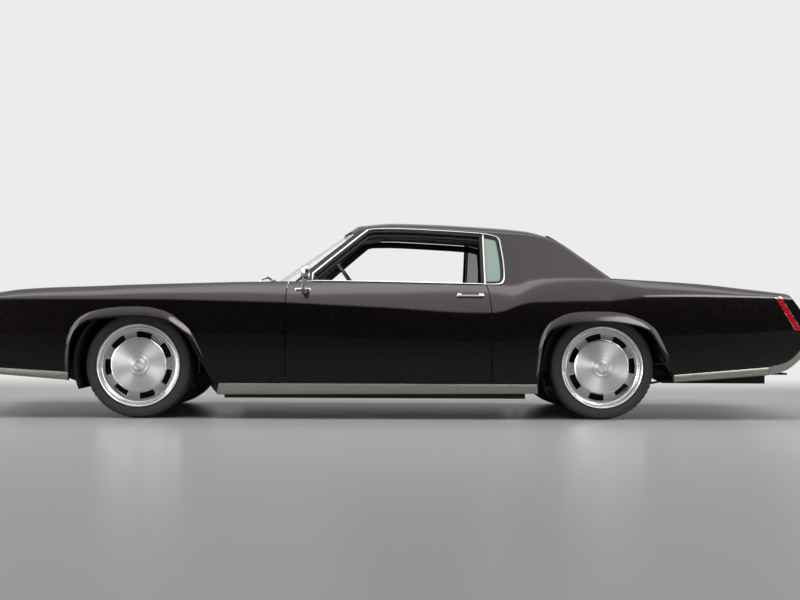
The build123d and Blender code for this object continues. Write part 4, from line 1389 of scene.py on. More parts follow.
    def _side_trim(self, car: Car, side: Side) -> None:
        """The bright moulding round the side glass, the seals inside it and the strip on the door glass."""
        path = [
            (1130, 957), (1300, 1101), (1477, 1247), (1508, 1260), (1556, 1267), (1738, 1268), (2104, 1251),
            (2274, 1239), (2342, 1227), (2366, 1220), (2380, 1209), (2388, 1190), (2397, 1130), (2403, 1080),
            (2407, 1030), (2408, 973), (2404, 930), (2394, 907), (2374, 895), (2330, 890), (2262, 890),
        ]
        run = [(1129.0, 912.0), *spline(path, 6)]
        lean = self.wall_up
        bead = [
            (-4.6, -5), (-4.6, 2.5), (-3.4, 4.6), (-1.4, 5.5), (1.4, 5.5), (3.4, 4.6), (4.6, 2.5), (4.6, -5),
        ]
        moulding = Form.tube(self.on_wall(run, 0.5), bead, up=lean)
        car.piece(f"window_moulding_{side.word}", moulding.on(side), CHROME,
                  replaces=["window_mouldings"] if side is Side.RIGHT else [])
        inside = offset(run, -15)
        bead = [(-9, -12), (-9, 5), (-5, 8), (6, 8), (9, 5), (9, -12)]
        seal = Form.tube(self.on_wall(inside, -9), bead, up=lean)
        post = self.on_wall([(2262, 884), (2262, 1243)], -8)
        seal.joined(Form.tube(post, [(-10, -8), (-10, 6), (10, 6), (10, -8)], up=lean))
        car.piece(f"window_seal_{side.word}", seal.on(side), SEAL)
        bead = [(-16, -8), (-16, 7), (16, 7), (16, -8)]
        frame = Form.tube(self.on_wall(offset(run[:-8], -24), -30), bead, up=lean)
        car.piece(f"window_frame_{side.word}", frame.on(side), DASH)
        post = self.on_wall([(2279, 886), (2279, 1241)], -3)
        strip = Form.tube(post, [(-6, -9), (-6, 4), (-3, 7), (3, 7), (6, 4), (6, -9)], up=lean)
        car.piece(f"quarter_strip_{side.word}", strip.on(side), CHROME)

    def _windshield_seal(self, car: Car) -> None:
        """The dark seal that holds the wrapped windshield, along its two pillars and its head."""
        bead = [(-6, -10), (-6, -2), (6, -2), (6, -10)]
        seal = Form()
        line = [p for a, b in zip(self.windshield[1:], self.windshield[2:])
                for p in zip(spread(a[0], b[0], 12), spread(a[1], b[1], 12))]
        for side in Side:
            edge = Form.tube(self.on_wall(line[:36]), bead, up=self.wall_up)
            seal.joined(edge.on(side))
        top = self.windshield[-1][1]
        half = self.corners(top, 0)["front"][1] - 10
        head = [Vector((self.front_x(y, top) + 3, y, top)) for y in spread(-half, half, 41)]
        seal.joined(Form.tube(head, bead, up=(-0.62, 0, 0.78)))
        car.piece("windshield_seal", seal, SEAL)

    def _backlight_trim(self, car: Car, outline: Sequence[Pair]) -> None:
        """The seal and the thin bright trim round the backlight."""
        path = []
        for y, z in outline:
            height = max(z, 892)
            path.append(Vector((self.rear_x(y, height) - 7 - max(0.0, z - 1190) * 0.35, y, height)))
        lean = (0.68, 0, 0.73)
        seal = Form.tube(path, [(-9, -10), (-9, 1), (9, 1), (9, -10)], closed=True, up=lean)
        car.piece("backlight_seal", seal, SEAL)
        bright = Form.tube(path, [(-3, 0), (-2, 2.5), (2, 2.5), (3, 0)], closed=True, up=lean)
        car.piece("backlight_trim", bright, CHROME)


@dataclass(frozen=True)
class Lids:
    """Hood, cowl, rear shelf and boot lid."""

    lines: BodyLines = BodyLines()
    half: float = 784.0

    def sheet(self, x0: float, x1: float, half: float, rise: float, ridge: float = 0.0) -> Form:
        """A crowned sheet between the fenders, with a raised line along its middle if asked."""
        columns = []
        for x in spread(x0, x1, max(4, round((x1 - x0) / 40))):
            edge = self.lines.flange_z(x)
            column = []
            for y in spread(-half, half, 81):
                share = y / half
                lift = rise * (1 - share * share) + ridge * math.exp(-(abs(y) / 70) ** 1.4)
                column.append((x, y, edge + lift))
            columns.append(column)
        return Form.laid(columns).facing((0, 0, 1))

    def brace(self, x0: float, x1: float, drop: float, columns: int, rows: int) -> Form:
        """The pressed inner panel under a lid: a lattice of ribs round rounded holes."""
        inner = self.sheet(x0 + 45, x1 - 45, self.half - 50, 4)
        inner.moved(Matrix.Translation((0, 0, -drop))).thick(4)
        wide, long = 2 * (self.half - 50) / columns, (x1 - x0 - 90) / rows
        upright = Matrix(((1, 0, 0, 0), (0, 0, 1, 0), (0, 1, 0, 0), (0, 0, 0, 1)))
        for i in range(columns):
            for k in range(rows):
                y = -self.half + 50 + wide * (i + 0.5)
                x = x0 + 45 + long * (k + 0.5)
                corners = [(x - long / 2 + 42, y - wide / 2 + 42), (x + long / 2 - 42, y - wide / 2 + 42),
                           (x + long / 2 - 42, y + wide / 2 - 42), (x - long / 2 + 42, y + wide / 2 - 42)]
                hole = Form.prism(rounded(corners, 50, 4), 600, 1000)
                inner.cut(hole.moved(upright).outward())
        return inner.bevelled(3, 1)

    def build(self, car: Car) -> None:
        """Makes the hood and the boot lid, and paints the panels between them and the glass."""
        hood = self.sheet(-1098, 697, self.half, 17, 6).thick(16).bevelled(3, 3)
        car.piece("hood_panel", hood, PAINT, "hood", ["hood"])
        car.piece("hood_brace", self.brace(-1098, 697, 26, 3, 4), PAINT, "hood")
        deck = self.sheet(3348, 4278, self.half, 8, 3).thick(16).bevelled(3, 3)
        car.piece("deck_panel", deck, PAINT, "deck_lid", ["deck_lid"])
        car.piece("deck_brace", self.brace(3348, 4278, 26, 3, 2), PAINT, "deck_lid")
        for node in ("cowl", "rear_shelf"):
            car.dress(node, PAINT, 0.0015)
        vents = Form()
        for i in range(22):
            for y0 in (-560, 60):
                y = y0 + i * 23
                top = self.lines.flange_z(765) + 17 * (1 - (y / self.half) ** 2) + 0.5
                vents.joined(Form.box((738, y, top - 1.5), (786, y + 11, top + 0.8)))
        car.piece("cowl_vents", vents.bevelled(0.6, 1), SEAL)


@dataclass(frozen=True)
class Ends:
    """Nose and tail: grille, bumpers, lamps, and the satin strips between the wheels."""

    lines: BodyLines = BodyLines()
    top: tuple[Pair, ...] = ((4149, 355), (4266, 385), (4346, 450), (4400, 520), (4436, 600))
    foot: tuple[Pair, ...] = ((4149, 300), (4266, 332), (4346, 392), (4408, 456), (4440, 520))

    def build(self, car: Car) -> None:
        """Makes everything at the two ends."""
        self._nose(car)
        self._bumpers(car)
        self._strips(car)
        self._tail(car)

    def face_x(self, z: float) -> float:
        """The station of the nose's raked face at a height."""
        return -1160 + (770 - z) * 0.1 + max(0.0, 600 - z) * 0.02

    def across(self, outline: Sequence[Pair], inset: float) -> Form:
        """A side-view outline carried across the car between its two side skins."""
        line = [(x, self.lines.side_y(x, z) - inset, z) for x, z in (*outline, outline[0])]
        columns = [[(x, share * y, z) for x, y, z in line] for share in spread(-1, 1, 61)]
        return Form.laid(columns, weld=True).capped().outward()

    def _nose(self, car: Car) -> None:
        """The painted surround, the bright frame and the egg-crate with its hidden-lamp covers."""
        surround = self.across([(-1160, 770), (-1140, 600), (-1128, 441), (-1098, 441), (-1104, 770)], 15)
        surround.cut(Form.box((-1250, -800, 470), (-1050, 800, 735))).bevelled(2.5)
        car.piece("grille_surround", surround, PAINT)
        rim = rounded([(-795, 475), (795, 475), (795, 730), (-795, 730)], 14, 4)
        path = [Vector((self.face_x(z) - 3, y, z)) for y, z in rim]
        bead = [(-9, -3), (-9, 5), (-5, 9), (5, 9), (9, 5), (9, -3)]
        frame = Form.tube(path, bead, closed=True, up=(-1, 0, -0.1))
        bead = [(-6, -4), (-6, 3), (-3, 6), (3, 6), (6, 3), (6, -4)]
        for y in (-455.0, 455.0):
            post = [Vector((self.face_x(z) - 2, y, z)) for z in spread(478, 727, 4)]
            frame.joined(Form.tube(post, bead, up=(-1, 0, -0.1)))
        car.piece("grille_frame", frame, CHROME)
        bars = Form()
        low, high = self.face_x(478) + 3, self.face_x(727) + 3
        upright = [(low, 476), (high, 729), (high + 24, 729), (low + 24, 476)]
        for y in spread(-782, 782, 69):
            bars.joined(Form.prism(upright, y - 1.6, y + 1.6))
        for z in spread(492, 713, 11):
            x = self.face_x(z) + 1
            bars.joined(Form.box((x, -792, z - 2), (x + 22, 792, z + 2)))
        car.piece("grille_crate", bars.bevelled(0.7, 1), GRILLE, replaces=["grille"])
        back = Form.box((-1098, -798, 472), (-1094, 798, 733))
        car.piece("grille_screen", back, SEAL)

    def _bumpers(self, car: Car) -> None:
        """The two bumpers, wrapped round the corners."""
        nose = [(-895, 327), (-1050, 345), (-1100, 390), (-1122, 440), (-1178, 440), (-1178, 330),
                (-1150, 300), (-1060, 288), (-895, 285)]
        front = self.lines.hull(-1180, -890, 6, pitch=10).cut(Form.prism(nose, -1100, 1100), Lie.INSIDE)
        front.cut(Form.box((-1105, -880, 200), (-880, 880, 700))).bevelled(9, 4)
        car.piece("front_bumper_bar", front, NICKEL, replaces=["front_bumper"])
        plate = Form.box((-1186, -155, 345), (-1180, 155, 425)).bevelled(2)
        car.piece("front_plate_rest", plate, SEAL)
        outline = [*spline(self.top, 6), *reversed(spline(self.foot, 6))]
        rear = self.lines.hull(4146, 4446, 6, pitch=10).cut(Form.prism(outline, -1100, 1100), Lie.INSIDE)
        rear.cut(Form.box((4140, -880, 200), (4340, 880, 700))).bevelled(9, 4)
        car.piece("rear_bumper_bar", rear, NICKEL, replaces=["rear_bumper"])

    def _strips(self, car: Car) -> None:
        """Satin strips under the doors and between each bumper and its wheel."""
        runs = (
            ([(532, 233), (2606, 233)], [(517, 159), (2613, 172)]),
            ([(-893, 326), (-443, 301)], [(-893, 284), (-443, 249)]),
            ([(3510, 299), (4146, 351)], [(3510, 250), (4146, 298)]),
        )
        for side in Side:
            strips = Form()
            for top, foot in runs:
                count = 30
                fine = [[(x, z) for x, z in zip(spread(a[0], b[0], count), spread(a[1], b[1], count))]
                        for a, b in (top, foot)]
                strips.joined(self.lines.strip(*fine))
            car.piece(f"lower_strips_{side.word}", strips.on(side), NICKEL,
                      replaces=["lower_trim"] if side is Side.RIGHT else [])

    def _tail(self, car: Car) -> None:
        """The wall between the blades, with its bright lines, and the slanted lamps."""
        wall = self.across([(4296, 816), (4340, 755), (4422, 612), (4418, 604), (4398, 604), (4322, 742),
                            (4292, 784), (4280, 816)], 15).bevelled(1.5, 1)
        car.piece("tail_wall", wall, PAINT, replaces=["tail_panel"])
        lines = Form()
        for x, z in ((4345, 751), (4419, 620)):
            path = [Vector((x, y, z)) for y in spread(-840, 840, 9)]
            lines.joined(Form.tube(path, [(-5, -3), (-4, 5), (4, 5), (5, -3)], up=(0.84, 0, 0.54)))
        car.piece("tail_lines", lines, CHROME)
        lamp = [(4191, 816), (4226, 816), (4357, 600), (4322, 600)]
        ring = offset(lamp, 5, closed=True)
        lenses, bezels = Form(), Form()
        for side in Side:
            lens = self.lines.hull(4180, 4370, 2, pitch=8).cut(Form.prism(lamp, 700, 1100), Lie.INSIDE)
            lens.cut(self.lines.hull(4170, 4380, -18, pitch=8)).bevelled(2, 2)
            lenses.joined(lens.on(side))
            bezel = self.lines.hull(4170, 4380, 4, pitch=8).cut(Form.prism(ring, 700, 1100), Lie.INSIDE)
            bezel.cut(Form.prism(lamp, 600, 1200)).cut(self.lines.hull(4160, 4390, -14, pitch=8))
            bezels.joined(bezel.bevelled(1.2, 2).on(side))
        car.piece("lamp_lenses", lenses, LENS, replaces=["tail_lamps"])
        car.piece("lamp_bezels", bezels, CHROME)


@dataclass(frozen=True)
class Wheel:
    """One wheel with its tyre, modelled about its own centre and then put on its axle."""

    end: str
    side: Side
    x: float
    first: float
    slots: int = 7
    steps: int = 120

    @property
    def body(self) -> str:
        """The body of the frame that it turns with."""
        return f"wheel_{self.end}_{self.side.word}"

    def build(self, car: Car) -> None:
        """Makes the rim, the slotted ring, the turned disc, the cap and the tyre."""
        here = Matrix.Translation((self.x, WHEEL_Y, AXLE_Z))
        turned = TurnedMetal(f"turned_{self.end}", "machined_aluminium",
                             centre=((self.x - MIDDLE_X) * MM, 0, AXLE_Z * MM))
        parts = (
            ("rim", self._rim(), POLISHED, [self.body]),
            ("ring", self._ring(), POLISHED, []),
            ("disc", self._disc(), turned, []),
            ("cap", self._cap(), turned, []),
            ("brake", self._brake(), CHASSIS, []),
            ("tyre", self._tyre(), TYRE, [f"tyre_{self.end}_{self.side.word}"]),
        )
        for name, form, finish, nodes in parts:
            piece = f"{name}_{self.end}_{self.side.word}"
            car.piece(piece, form.moved(here).on(self.side), finish, self.body, nodes)

    def _turned(self, profile: Sequence[Pair]) -> Form:
        """A closed profile of (radius, y) points turned about the axle."""
        return Form.turned(profile, self.steps)

    def _rim(self) -> Form:
        """The barrel with its inner lip and its stepped, polished outer one."""
        return self._turned([
            (268, -121), (272, -119), (272, -115), (266, -111), (258, -107), (252, -100), (249, -80), (249, 74),
            (252, 88), (262, 97), (268, 104), (271, 110), (272.5, 114), (271, 118), (267, 118.5), (263, 116),
            (260, 110), (257, 106.5), (253, 105.5), (251, 103), (250, 98), (247, 96), (243, 95.5), (240, 93),
            (238, 86), (236, 40), (240, 10), (243, -60), (244, -96), (250, -110), (260, -118),
        ])

    def _ring(self) -> Form:
        """The polished ring with its seven rounded slots."""
        ring = self._turned([
            (240, 80), (240, 88), (236, 90.5), (231, 90), (226, 88.4), (205, 87.6), (184, 88.4), (179, 89.6),
            (175, 92), (172, 95), (168, 94), (168, 76), (200, 76),
        ])
        for k in range(self.slots):
            angle = math.radians(self.first + 360 / self.slots * k)
            half = math.radians(14.3)
            corners = []
            for radius, ways in ((222, spread(-half, half, 5)), (181, spread(half, -half, 5))):
                corners += [(radius * math.cos(angle + a), radius * math.sin(angle + a)) for a in ways]
            slot = []
            for i, corner in enumerate(corners):
                if i in (0, 4, 5, 9):
                    before, after = Vector(corners[i - 1]), Vector(corners[(i + 1) % 10])
                    here = Vector(corner)
                    start = here + (before - here).normalized() * 9
                    end = here + (after - here).normalized() * 9
                    slot += [tuple(start * (1 - t) ** 2 + here * 2 * t * (1 - t) + end * t * t)
                             for t in spread(0, 1, 5)]
                else:
                    slot.append(corner)
            ring.cut(Form.prism(slot, 40, 130))
        return ring.bevelled(1.6, 2)

    def _disc(self) -> Form:
        """The turned disc, faintly domed, with a groove near its edge."""
        rings = [(173, 90), (173, 95.5), (171, 97.2), (168, 98), (166, 97.3), (164, 98.2)]
        rings += [(r, 98.2 + 5.5 * (1 - (r / 164) ** 2)) for r in spread(150, 62, 8)]
        return self._turned([*rings, (62, 90)])

    def _cap(self) -> Form:
        """The centre cap, with a bare dish in its middle."""
        return self._turned([
            (66, 98), (66, 104), (64.5, 107), (61, 109), (57, 109.6), (52, 108), (48, 107.6), (44, 109.5),
            (39, 113), (32, 115.4), (26, 116), (24, 115), (22.5, 112.6), (12, 111.8), (0, 111.6), (0, 98),
        ])

    def _brake(self) -> Form:
        """The brake disc and its hat behind the wheel."""
        return self._turned([
            (62, 8), (62, 30), (88, 34), (96, 22), (164, 22), (166, 20), (166, 2), (164, 0), (96, 0),
        ])

    def _tyre(self) -> Form:
        """A low tyre with a rim guard, four grooves and cut shoulders."""
        outer = [
            (249, 99), (256, 103), (268, 106), (276, 109), (280, 115), (284, 117.4), (288, 116.6),
            (290, 117.2), (300, 120.4), (310, 121), (320, 119.6), (328, 117), (330, 116.8), (331, 115),
            (337, 110), (341, 105),
        ]
        tread = [(343.5, 99), (344.5, 90)]
        for groove in (66, 24, -24, -66):
            tread += [(345, groove + 5), (338, groove + 3.6), (338, groove - 3.6), (345, groove - 5)]
        tread += [(344.5, -90), (343.5, -99)]
        inner = [(r, -y) for r, y in reversed(outer)]
        form = Form.turned([*outer, *tread, *inner, (249, -60), (249, 60)], 168)
        for vert in form.bm.verts:
            radius = math.hypot(vert.co.x, vert.co.z)
            turn = math.degrees(math.atan2(vert.co.z, vert.co.x)) % 360
            notch = round(turn / (360 / 168)) % 3 == 0
            if notch and 84 < abs(vert.co.y) < 112 and radius > 334:
                vert.co.x *= (radius - 4.5) / radius
                vert.co.z *= (radius - 4.5) / radius
        return form


@dataclass(frozen=True)
class Cabin:
    """Seats, dashboard, steering wheel, door cards, carpet and the small things seen through the glass."""

    hub: tuple = (1410.0, -380.0, 872.0)
    tilt: float = math.radians(35.5)

    @staticmethod
    def pad(outline: Sequence[Pair], y0: float, y1: float, seams: Sequence[float] = (), edge: float = 38.0,
            channel: float = 9.0, corner: float = 60.0) -> Form:
        """A stuffed block with rounded ends and sewn channels.

        Args:
            outline: Its side view, as (x, z) points.
            y0: Where it starts across the car.
            y1: Where it ends.
            seams: The places of its sewn channels across the car.
            edge: The radius of its two side edges.
            channel: The depth of a channel.
            corner: How far its outline's corners are rounded.

        Returns:
            The closed form.
        """
        line: list[Pair] = []
        soft = rounded(outline, corner, 6)
        for start, end in zip(soft, [*soft[1:], soft[0]]):
            steps = max(1, round(math.dist(start, end) / 22))
            line += [(start[0] + (end[0] - start[0]) * k / steps, start[1] + (end[1] - start[1]) * k / steps)
                     for k in range(steps)]
        area = sum(a[0] * b[1] - b[0] * a[1] for a, b in zip(line, [*line[1:], line[0]]))
        inward = 1 if area > 0 else -1
        places = sorted({
            *spread(y0 + edge, y1 - edge, max(5, round((y1 - y0) / 24))),
            *[y0 + edge * (1 - math.cos(a)) for a in spread(0.2, math.pi / 2, 6)],
            *[y1 - edge * (1 - math.cos(a)) for a in spread(0.2, math.pi / 2, 6)],
            *[s + d for s in seams for d in (-16, -9, -4, 0, 4, 9, 16)],
        })
        columns = []
        for y in places:
            if not y0 <= y <= y1:
                continue
            gap = min(y - y0, y1 - y, edge)
            inset = edge - math.sqrt(max(0.0, edge ** 2 - (edge - gap) ** 2))
            inset += channel * max([math.exp(-(abs(y - s) / 7) ** 1.3) for s in seams], default=0.0)
            ring = offset(line, inward * inset, closed=True)
            columns.append([(x, y, z) for x, z in (*ring, ring[0])])
        return Form.laid(columns, weld=True).capped().outward()

    def build(self, car: Car, lines: BodyLines) -> None:
        """Makes everything inside the cabin."""
        self._seats(car)
        self._dash(car)
        self._steering(car)
        self._linings(car, lines)

    def _seats(self, car: Car) -> None:
        """The two front seats and the rear bench."""
        cushion = [(1430, 300), (1415, 420), (1440, 472), (1880, 446), (1985, 446), (2010, 300)]
        back = [
            (1925, 330), (1950, 470), (2035, 850), (2066, 884), (2110, 880), (2128, 856), (2062, 400),
            (2020, 330),
        ]
        front = Form()
        for side in Side:
            seams = spread(190, 550, 5)
            one = self.pad(cushion, 90, 650, seams).joined(self.pad(back, 92, 648, seams, corner=44))
            front.joined(one.on(side))
        car.piece("front_seat_pads", front, LEATHER, replaces=["front_seats"], padded=0.85, smooth=60)
        bases = Form()
        for side in Side:
            bases.joined(Form.box((1480, 130, 206), (1960, 610, 306)).bevelled(14, 3).on(side))
        car.piece("seat_bases", bases, SEAL)
        seams = [s for s in spread(-470, 470, 11) if abs(s) > 20]
        cushion = [
            (2395, 250), (2378, 440), (2410, 482), (2860, 452), (2935, 452), (2960, 400), (2592, 400),
            (2492, 250),
        ]
        back = [
            (2868, 430), (2935, 480), (3008, 845), (3040, 872), (3068, 862), (3078, 845), (3004, 402),
            (2900, 402),
        ]
        bench = self.pad(cushion, -560, 560, seams, corner=34)
        bench.joined(self.pad(back, -558, 558, seams, corner=26))
        car.piece("rear_seat_pads", bench, LEATHER, replaces=["rear_seat"], padded=0.85, smooth=60)

    def _dash(self, car: Car) -> None:
        """The dashboard with its pad, bright strip, dials, vents and the column."""
        shape = [(740, 862), (900, 864), (975, 848), (990, 822), (986, 770), (940, 700), (800, 640), (740, 640)]
        panel = self.pad(shape, -735, 735, edge=14, corner=22)
        face = [(980, 812), (985, 772), (960, 735), (950, 735), (965, 812)]
        panel.joined(self.pad(face, -720, 720, edge=5, corner=5))
        axis = Vector((math.cos(self.tilt), 0, math.sin(self.tilt)))
        hub = Vector(self.hub)
        panel.joined(Form.tube([hub - axis * 520, hub - axis * 92, hub - axis * 84], circle(34, 34, 24)))
        panel.joined(Form.tube([hub - axis * 90, hub - axis * 12], circle(9, 9, 16)))
        car.piece("dash_panel", panel, DASH, replaces=["dashboard"], padded=0.95)
        bright = Form()
        line = [Vector((989, y, 824)) for y in spread(-720, 720, 5)]
        bright.joined(Form.tube(line, [(-4, -2), (-3, 4), (3, 4), (4, -2)], up=(1, 0, 0.1)))
        for y, radius in ((-470, 44), (-370, 44), (-290, 24), (0, 17), (60, 17)):
            dial = Form.turned([
                (radius, 0), (radius, 7), (radius - 4, 8), (radius - 5, 4), (0.01, 4), (0.01, 0),
            ], 40)
            dial.moved(Matrix.Translation((984, y, 787)) @ Matrix.Rotation(-math.pi / 2, 4, "Z"))
            bright.joined(dial)
        for y in (-660, 640, 300):
            for k in range(5):
                bright.joined(Form.box((984, y - 45, 770 + k * 8), (991, y + 45, 772.5 + k * 8)))
        car.piece("dash_brightwork", bright, CHROME)

    def _steering(self, car: Car) -> None:
        """The steering wheel: a thin ribbed rim, two spokes, a horn ring and a padded hub."""
        place = Matrix.Translation(Vector(self.hub)) @ Matrix.Rotation(math.pi / 2 - self.tilt, 4, "Y")
        upright = Matrix.Rotation(math.pi / 2, 4, "X")
        count = 144
        columns = []
        for i in range(count + 1):
            angle = math.tau * i / count
            grip = 12.0 - (0.9 if i % 3 == 0 else 0)
            columns.append([
                ((200 + grip * math.cos(a)) * math.cos(angle), (200 + grip * math.cos(a)) * math.sin(angle),
                 grip * math.sin(a)) for a in spread(0, math.tau, 17)
            ])
        rim = Form.laid(columns, weld=True).outward()
        hub = Form.turned([
            (0.01, -6), (0.01, 3), (26, 1), (38, -6), (42, -16), (42, -58), (20, -60), (20, -6),
        ], 48)
        rim.joined(hub.moved(upright))
        for way in (-1, 1):
            spoke = Form.tube(
                [Vector((0, way * r, h)) for r, h in ((30, -14), (90, -12), (150, -7), (194, -1))],
                [(-17, -4), (-17, 3), (-12, 6), (12, 6), (17, 3), (17, -4)],
            )
            rim.joined(spoke)
        car.piece("steering_rim", rim.moved(place), RIM_PLASTIC, "steering_wheel", ["steering_wheel"], smooth=50)
        ring = [Vector((x, y, 2)) for x, y in circle(105, 105, 72)]
        horn = Form.tube(ring, circle(4, 4, 8), closed=True)
        for way in (-1, 1):
            horn.joined(Form.box((-5, way * 70 - 38, 0), (5, way * 70 + 38, 5)))
        car.piece("horn_ring", horn.moved(place), CHROME, "steering_wheel")

    def _linings(self, car: Car, lines: BodyLines) -> None:
        """Door cards, quarter linings, carpet, parcel shelf, mirror, visors and lock knobs."""
        for side in Side:
            card = [(1010, 262), (1000, 858), (2262, 848), (2270, 262)]
            panel = self.pad(card, 0, 16, edge=6, corner=26)
            lean = Matrix.Shear("XZ", 4, (0, 0))
            lean[1][2] = -90 / 681
            panel.moved(Matrix.Translation((0, 868.5, 0)) @ lean).moved(Matrix.Translation((0, -7, 0)))
            rest = self.pad([(1250, 560), (1262, 616), (1880, 616), (1900, 560)], 742, 812, edge=16, corner=22)
            body = f"door_{side.word}"
            car.piece(f"door_card_{side.word}", panel.joined(rest).on(side), LEATHER, body, padded=0.8, smooth=60)
            pull = [(1330, 768, 668), (1330, 752, 676), (1420, 750, 678), (1510, 752, 676), (1510, 768, 668)]
            handle = Form.tube(pull, [(-5, -4), (-5, 4), (5, 4), (5, -4)])
            handle.joined(Form.ball((1880, 782, 905), (4.5, 4.5, 11), 12))
            car.piece(f"door_brightwork_{side.word}", handle.bevelled(1, 1).on(side), CHROME, body)
            shape = [(2330, 262), (2330, 868), (3060, 868), (3010, 400), (2500, 262)]
            quarter = self.pad(shape, 742, 752, edge=4, corner=20)
            car.piece(f"quarter_lining_{side.word}", quarter.on(side), LEATHER, smooth=60)
        carpet = Form.box((640, -735, 203), (2380, 735, 208))
        carpet.joined(Form.box((640, -95, 207), (2390, 95, 226)).bevelled(12, 3))
        car.piece("carpet", carpet, CARPET)
        shelf = Form.box((3085, -545, 881), (3270, 545, 884))
        car.piece("parcel_shelf_cloth", shelf, CARPET)
        mirror = Form.box((-7, -88, -22), (7, 88, 22)).bevelled(6, 3)
        mirror.moved(Matrix.Translation((1408, -20, 1196)) @ Matrix.Rotation(math.radians(12), 4, "Y"))
        stem = [(1402, -20, 1200), (1398, -20, 1232), (1402, -20, 1246)]
        mirror.joined(Form.tube(stem, [(-6, -4), (-6, 4), (6, 4), (6, -4)]))
        car.piece("cabin_mirror", mirror, SEAL)
        visors = Form()
        shape = [(1440, 1226), (1446, 1238), (1600, 1262), (1604, 1250)]
        for side in Side:
            visors.joined(self.pad(shape, 70, 480, edge=5, corner=5).on(side))
        car.piece("sun_visors", visors, HEADLINER, smooth=60)


@dataclass(frozen=True)
class Fittings:
    """Handles, door mirrors and wipers."""

    lines: BodyLines = BodyLines()

    def build(self, car: Car) -> None:
        """Makes the small outside pieces."""
        for side in Side:
            self._handle(car, side)
            self._mirror(car, side)
            self._belt(car, side)
        self._wipers(car)

    def _handle(self, car: Car, side: Side) -> None:
        """A slim grip on two feet, with its button at the rear."""
        body = f"door_{side.word}"
        place = Matrix.Translation((2173, 903, 821)) @ Matrix.Rotation(math.radians(-34.8), 4, "X")
        grip = Form.box((-91, 15, -9.5), (91, 26, 9.5)).bevelled(4.5, 4)
        for x0, x1 in ((-88, -60), (54, 88)):
            grip.joined(Form.box((x0, -14, -8), (x1, 18, 8)).bevelled(3, 2))
        grip = grip.moved(place).on(side)
        car.piece(f"handle_grip_{side.word}", grip, CHROME, body, [f"door_handle_{side.word}"])
        middle = Matrix.Translation((75, 25, 0))
        collar = Form.turned([(8.2, 0), (8.2, 1.6), (9.6, 1.6), (9.9, 0)], 28).moved(middle)
        car.piece(f"handle_collar_{side.word}", collar.moved(place).on(side), SEAL, body)
        button = Form.turned([(0.01, 0), (0.01, 4), (5.5, 4), (7.8, 2.8), (7.8, 0)], 28).moved(middle)
        car.piece(f"handle_button_{side.word}", button.moved(place).on(side), CHROME, body)

    def _mirror(self, car: Car, side: Side) -> None:
        """A round bright mirror on a raked stalk with a long foot."""
        body = f"door_{side.word}"
        path = [(x, 905, 846) for x in spread(1018, 1122, 9)]
        section = [(-16, -26), (-18, -4), (-12, 9), (0, 13), (12, 9), (18, -4), (16, -26)]
        foot = Form.tube(path, section, up=(0, 0.5, 0.86)).bevelled(5, 3)
        stalk = [(1072, 914, 850), (1077, 928, 874), (1081, 944, 900), (1085, 958, 926), (1088, 964, 944)]
        foot.joined(Form.tube(stalk, circle(15, 8, 20), up=(0, 1, 0)))
        bowl = Form.turned([
            (0.01, -34), (14, -33), (27, -29), (38, -20), (45, -7), (48, 8), (48.6, 18), (48, 22), (46, 23), (44.6, 21),
            (44, 17), (0.01, 17),
        ], 56)
        head = Matrix.Translation((1090, 966, 961)) @ Matrix.Rotation(math.radians(-90), 4, "Z")
        foot.joined(bowl.moved(head))
        car.piece(f"mirror_case_{side.word}", foot.on(side), CHROME, body, [f"mirror_{side.word}"])
        glass = Form.turned([(0.01, 17.2), (0.01, 18.4), (43.6, 18.2), (43.6, 17.2)], 56).moved(head)
        car.piece(f"mirror_glass_{side.word}", glass.on(side), MIRROR, body)

    def _belt(self, car: Car, side: Side) -> None:
        """The bright moulding along the top of the door, with the window's wiping seal behind it."""
        body = f"door_{side.word}"
        path = [Vector((x, 841, self.lines.peak_z(x) + 1)) for x in spread(1131, 2258, 50)]
        bead = [(-6, -5), (-6, 3), (-4, 5.5), (4, 5.5), (6, 3), (6, -5)]
        car.piece(f"belt_moulding_{side.word}", Form.tube(path, bead).on(side), CHROME, body)
        wipe = Form.tube([p - Vector((0, 14, 3)) for p in path], [(-6, -4), (-6, 3), (6, 3), (6, -4)])
        car.piece(f"belt_seal_{side.word}", wipe.on(side), SEAL, body)

    def _wipers(self, car: Car) -> None:
        """Two bright arms, parked at the foot of the glass, with their blades."""
        arms, blades = Form(), Form()
        for y in (-470, 130):
            pivot = Form.turned([(0.01, 0), (0.01, 38), (10, 38), (13, 34), (15, 0)], 28)
            arms.joined(pivot.moved(Matrix.Translation((762, y, 884)) @ Matrix.Rotation(math.pi / 2, 4, "X")))
            path = [Vector((762, y, 919)), Vector((776, y + 110, 934)), Vector((800, y + 330, 948))]
            arms.joined(Form.tube(path, [(-7, -3), (-6, 4), (6, 4), (7, -3)]))
            spine = []
            for t in spread(60, 480, 15):
                spine.append(Vector((800, y + t, 944 + 4 * math.sin(math.pi * (t - 60) / 420))))
            arms.joined(Form.tube(spine, [(-4, -1), (-4, 4), (4, 4), (4, -1)]))
            edge = [p - Vector((0, 0, 7)) for p in spine]
            blades.joined(Form.tube(edge, [(-1.5, -5), (-3, 5), (3, 5), (1.5, -5)]))
        car.piece("wiper_arms", arms, CHROME, replaces=["wipers"])
        car.piece("wiper_blades", blades, SEAL)


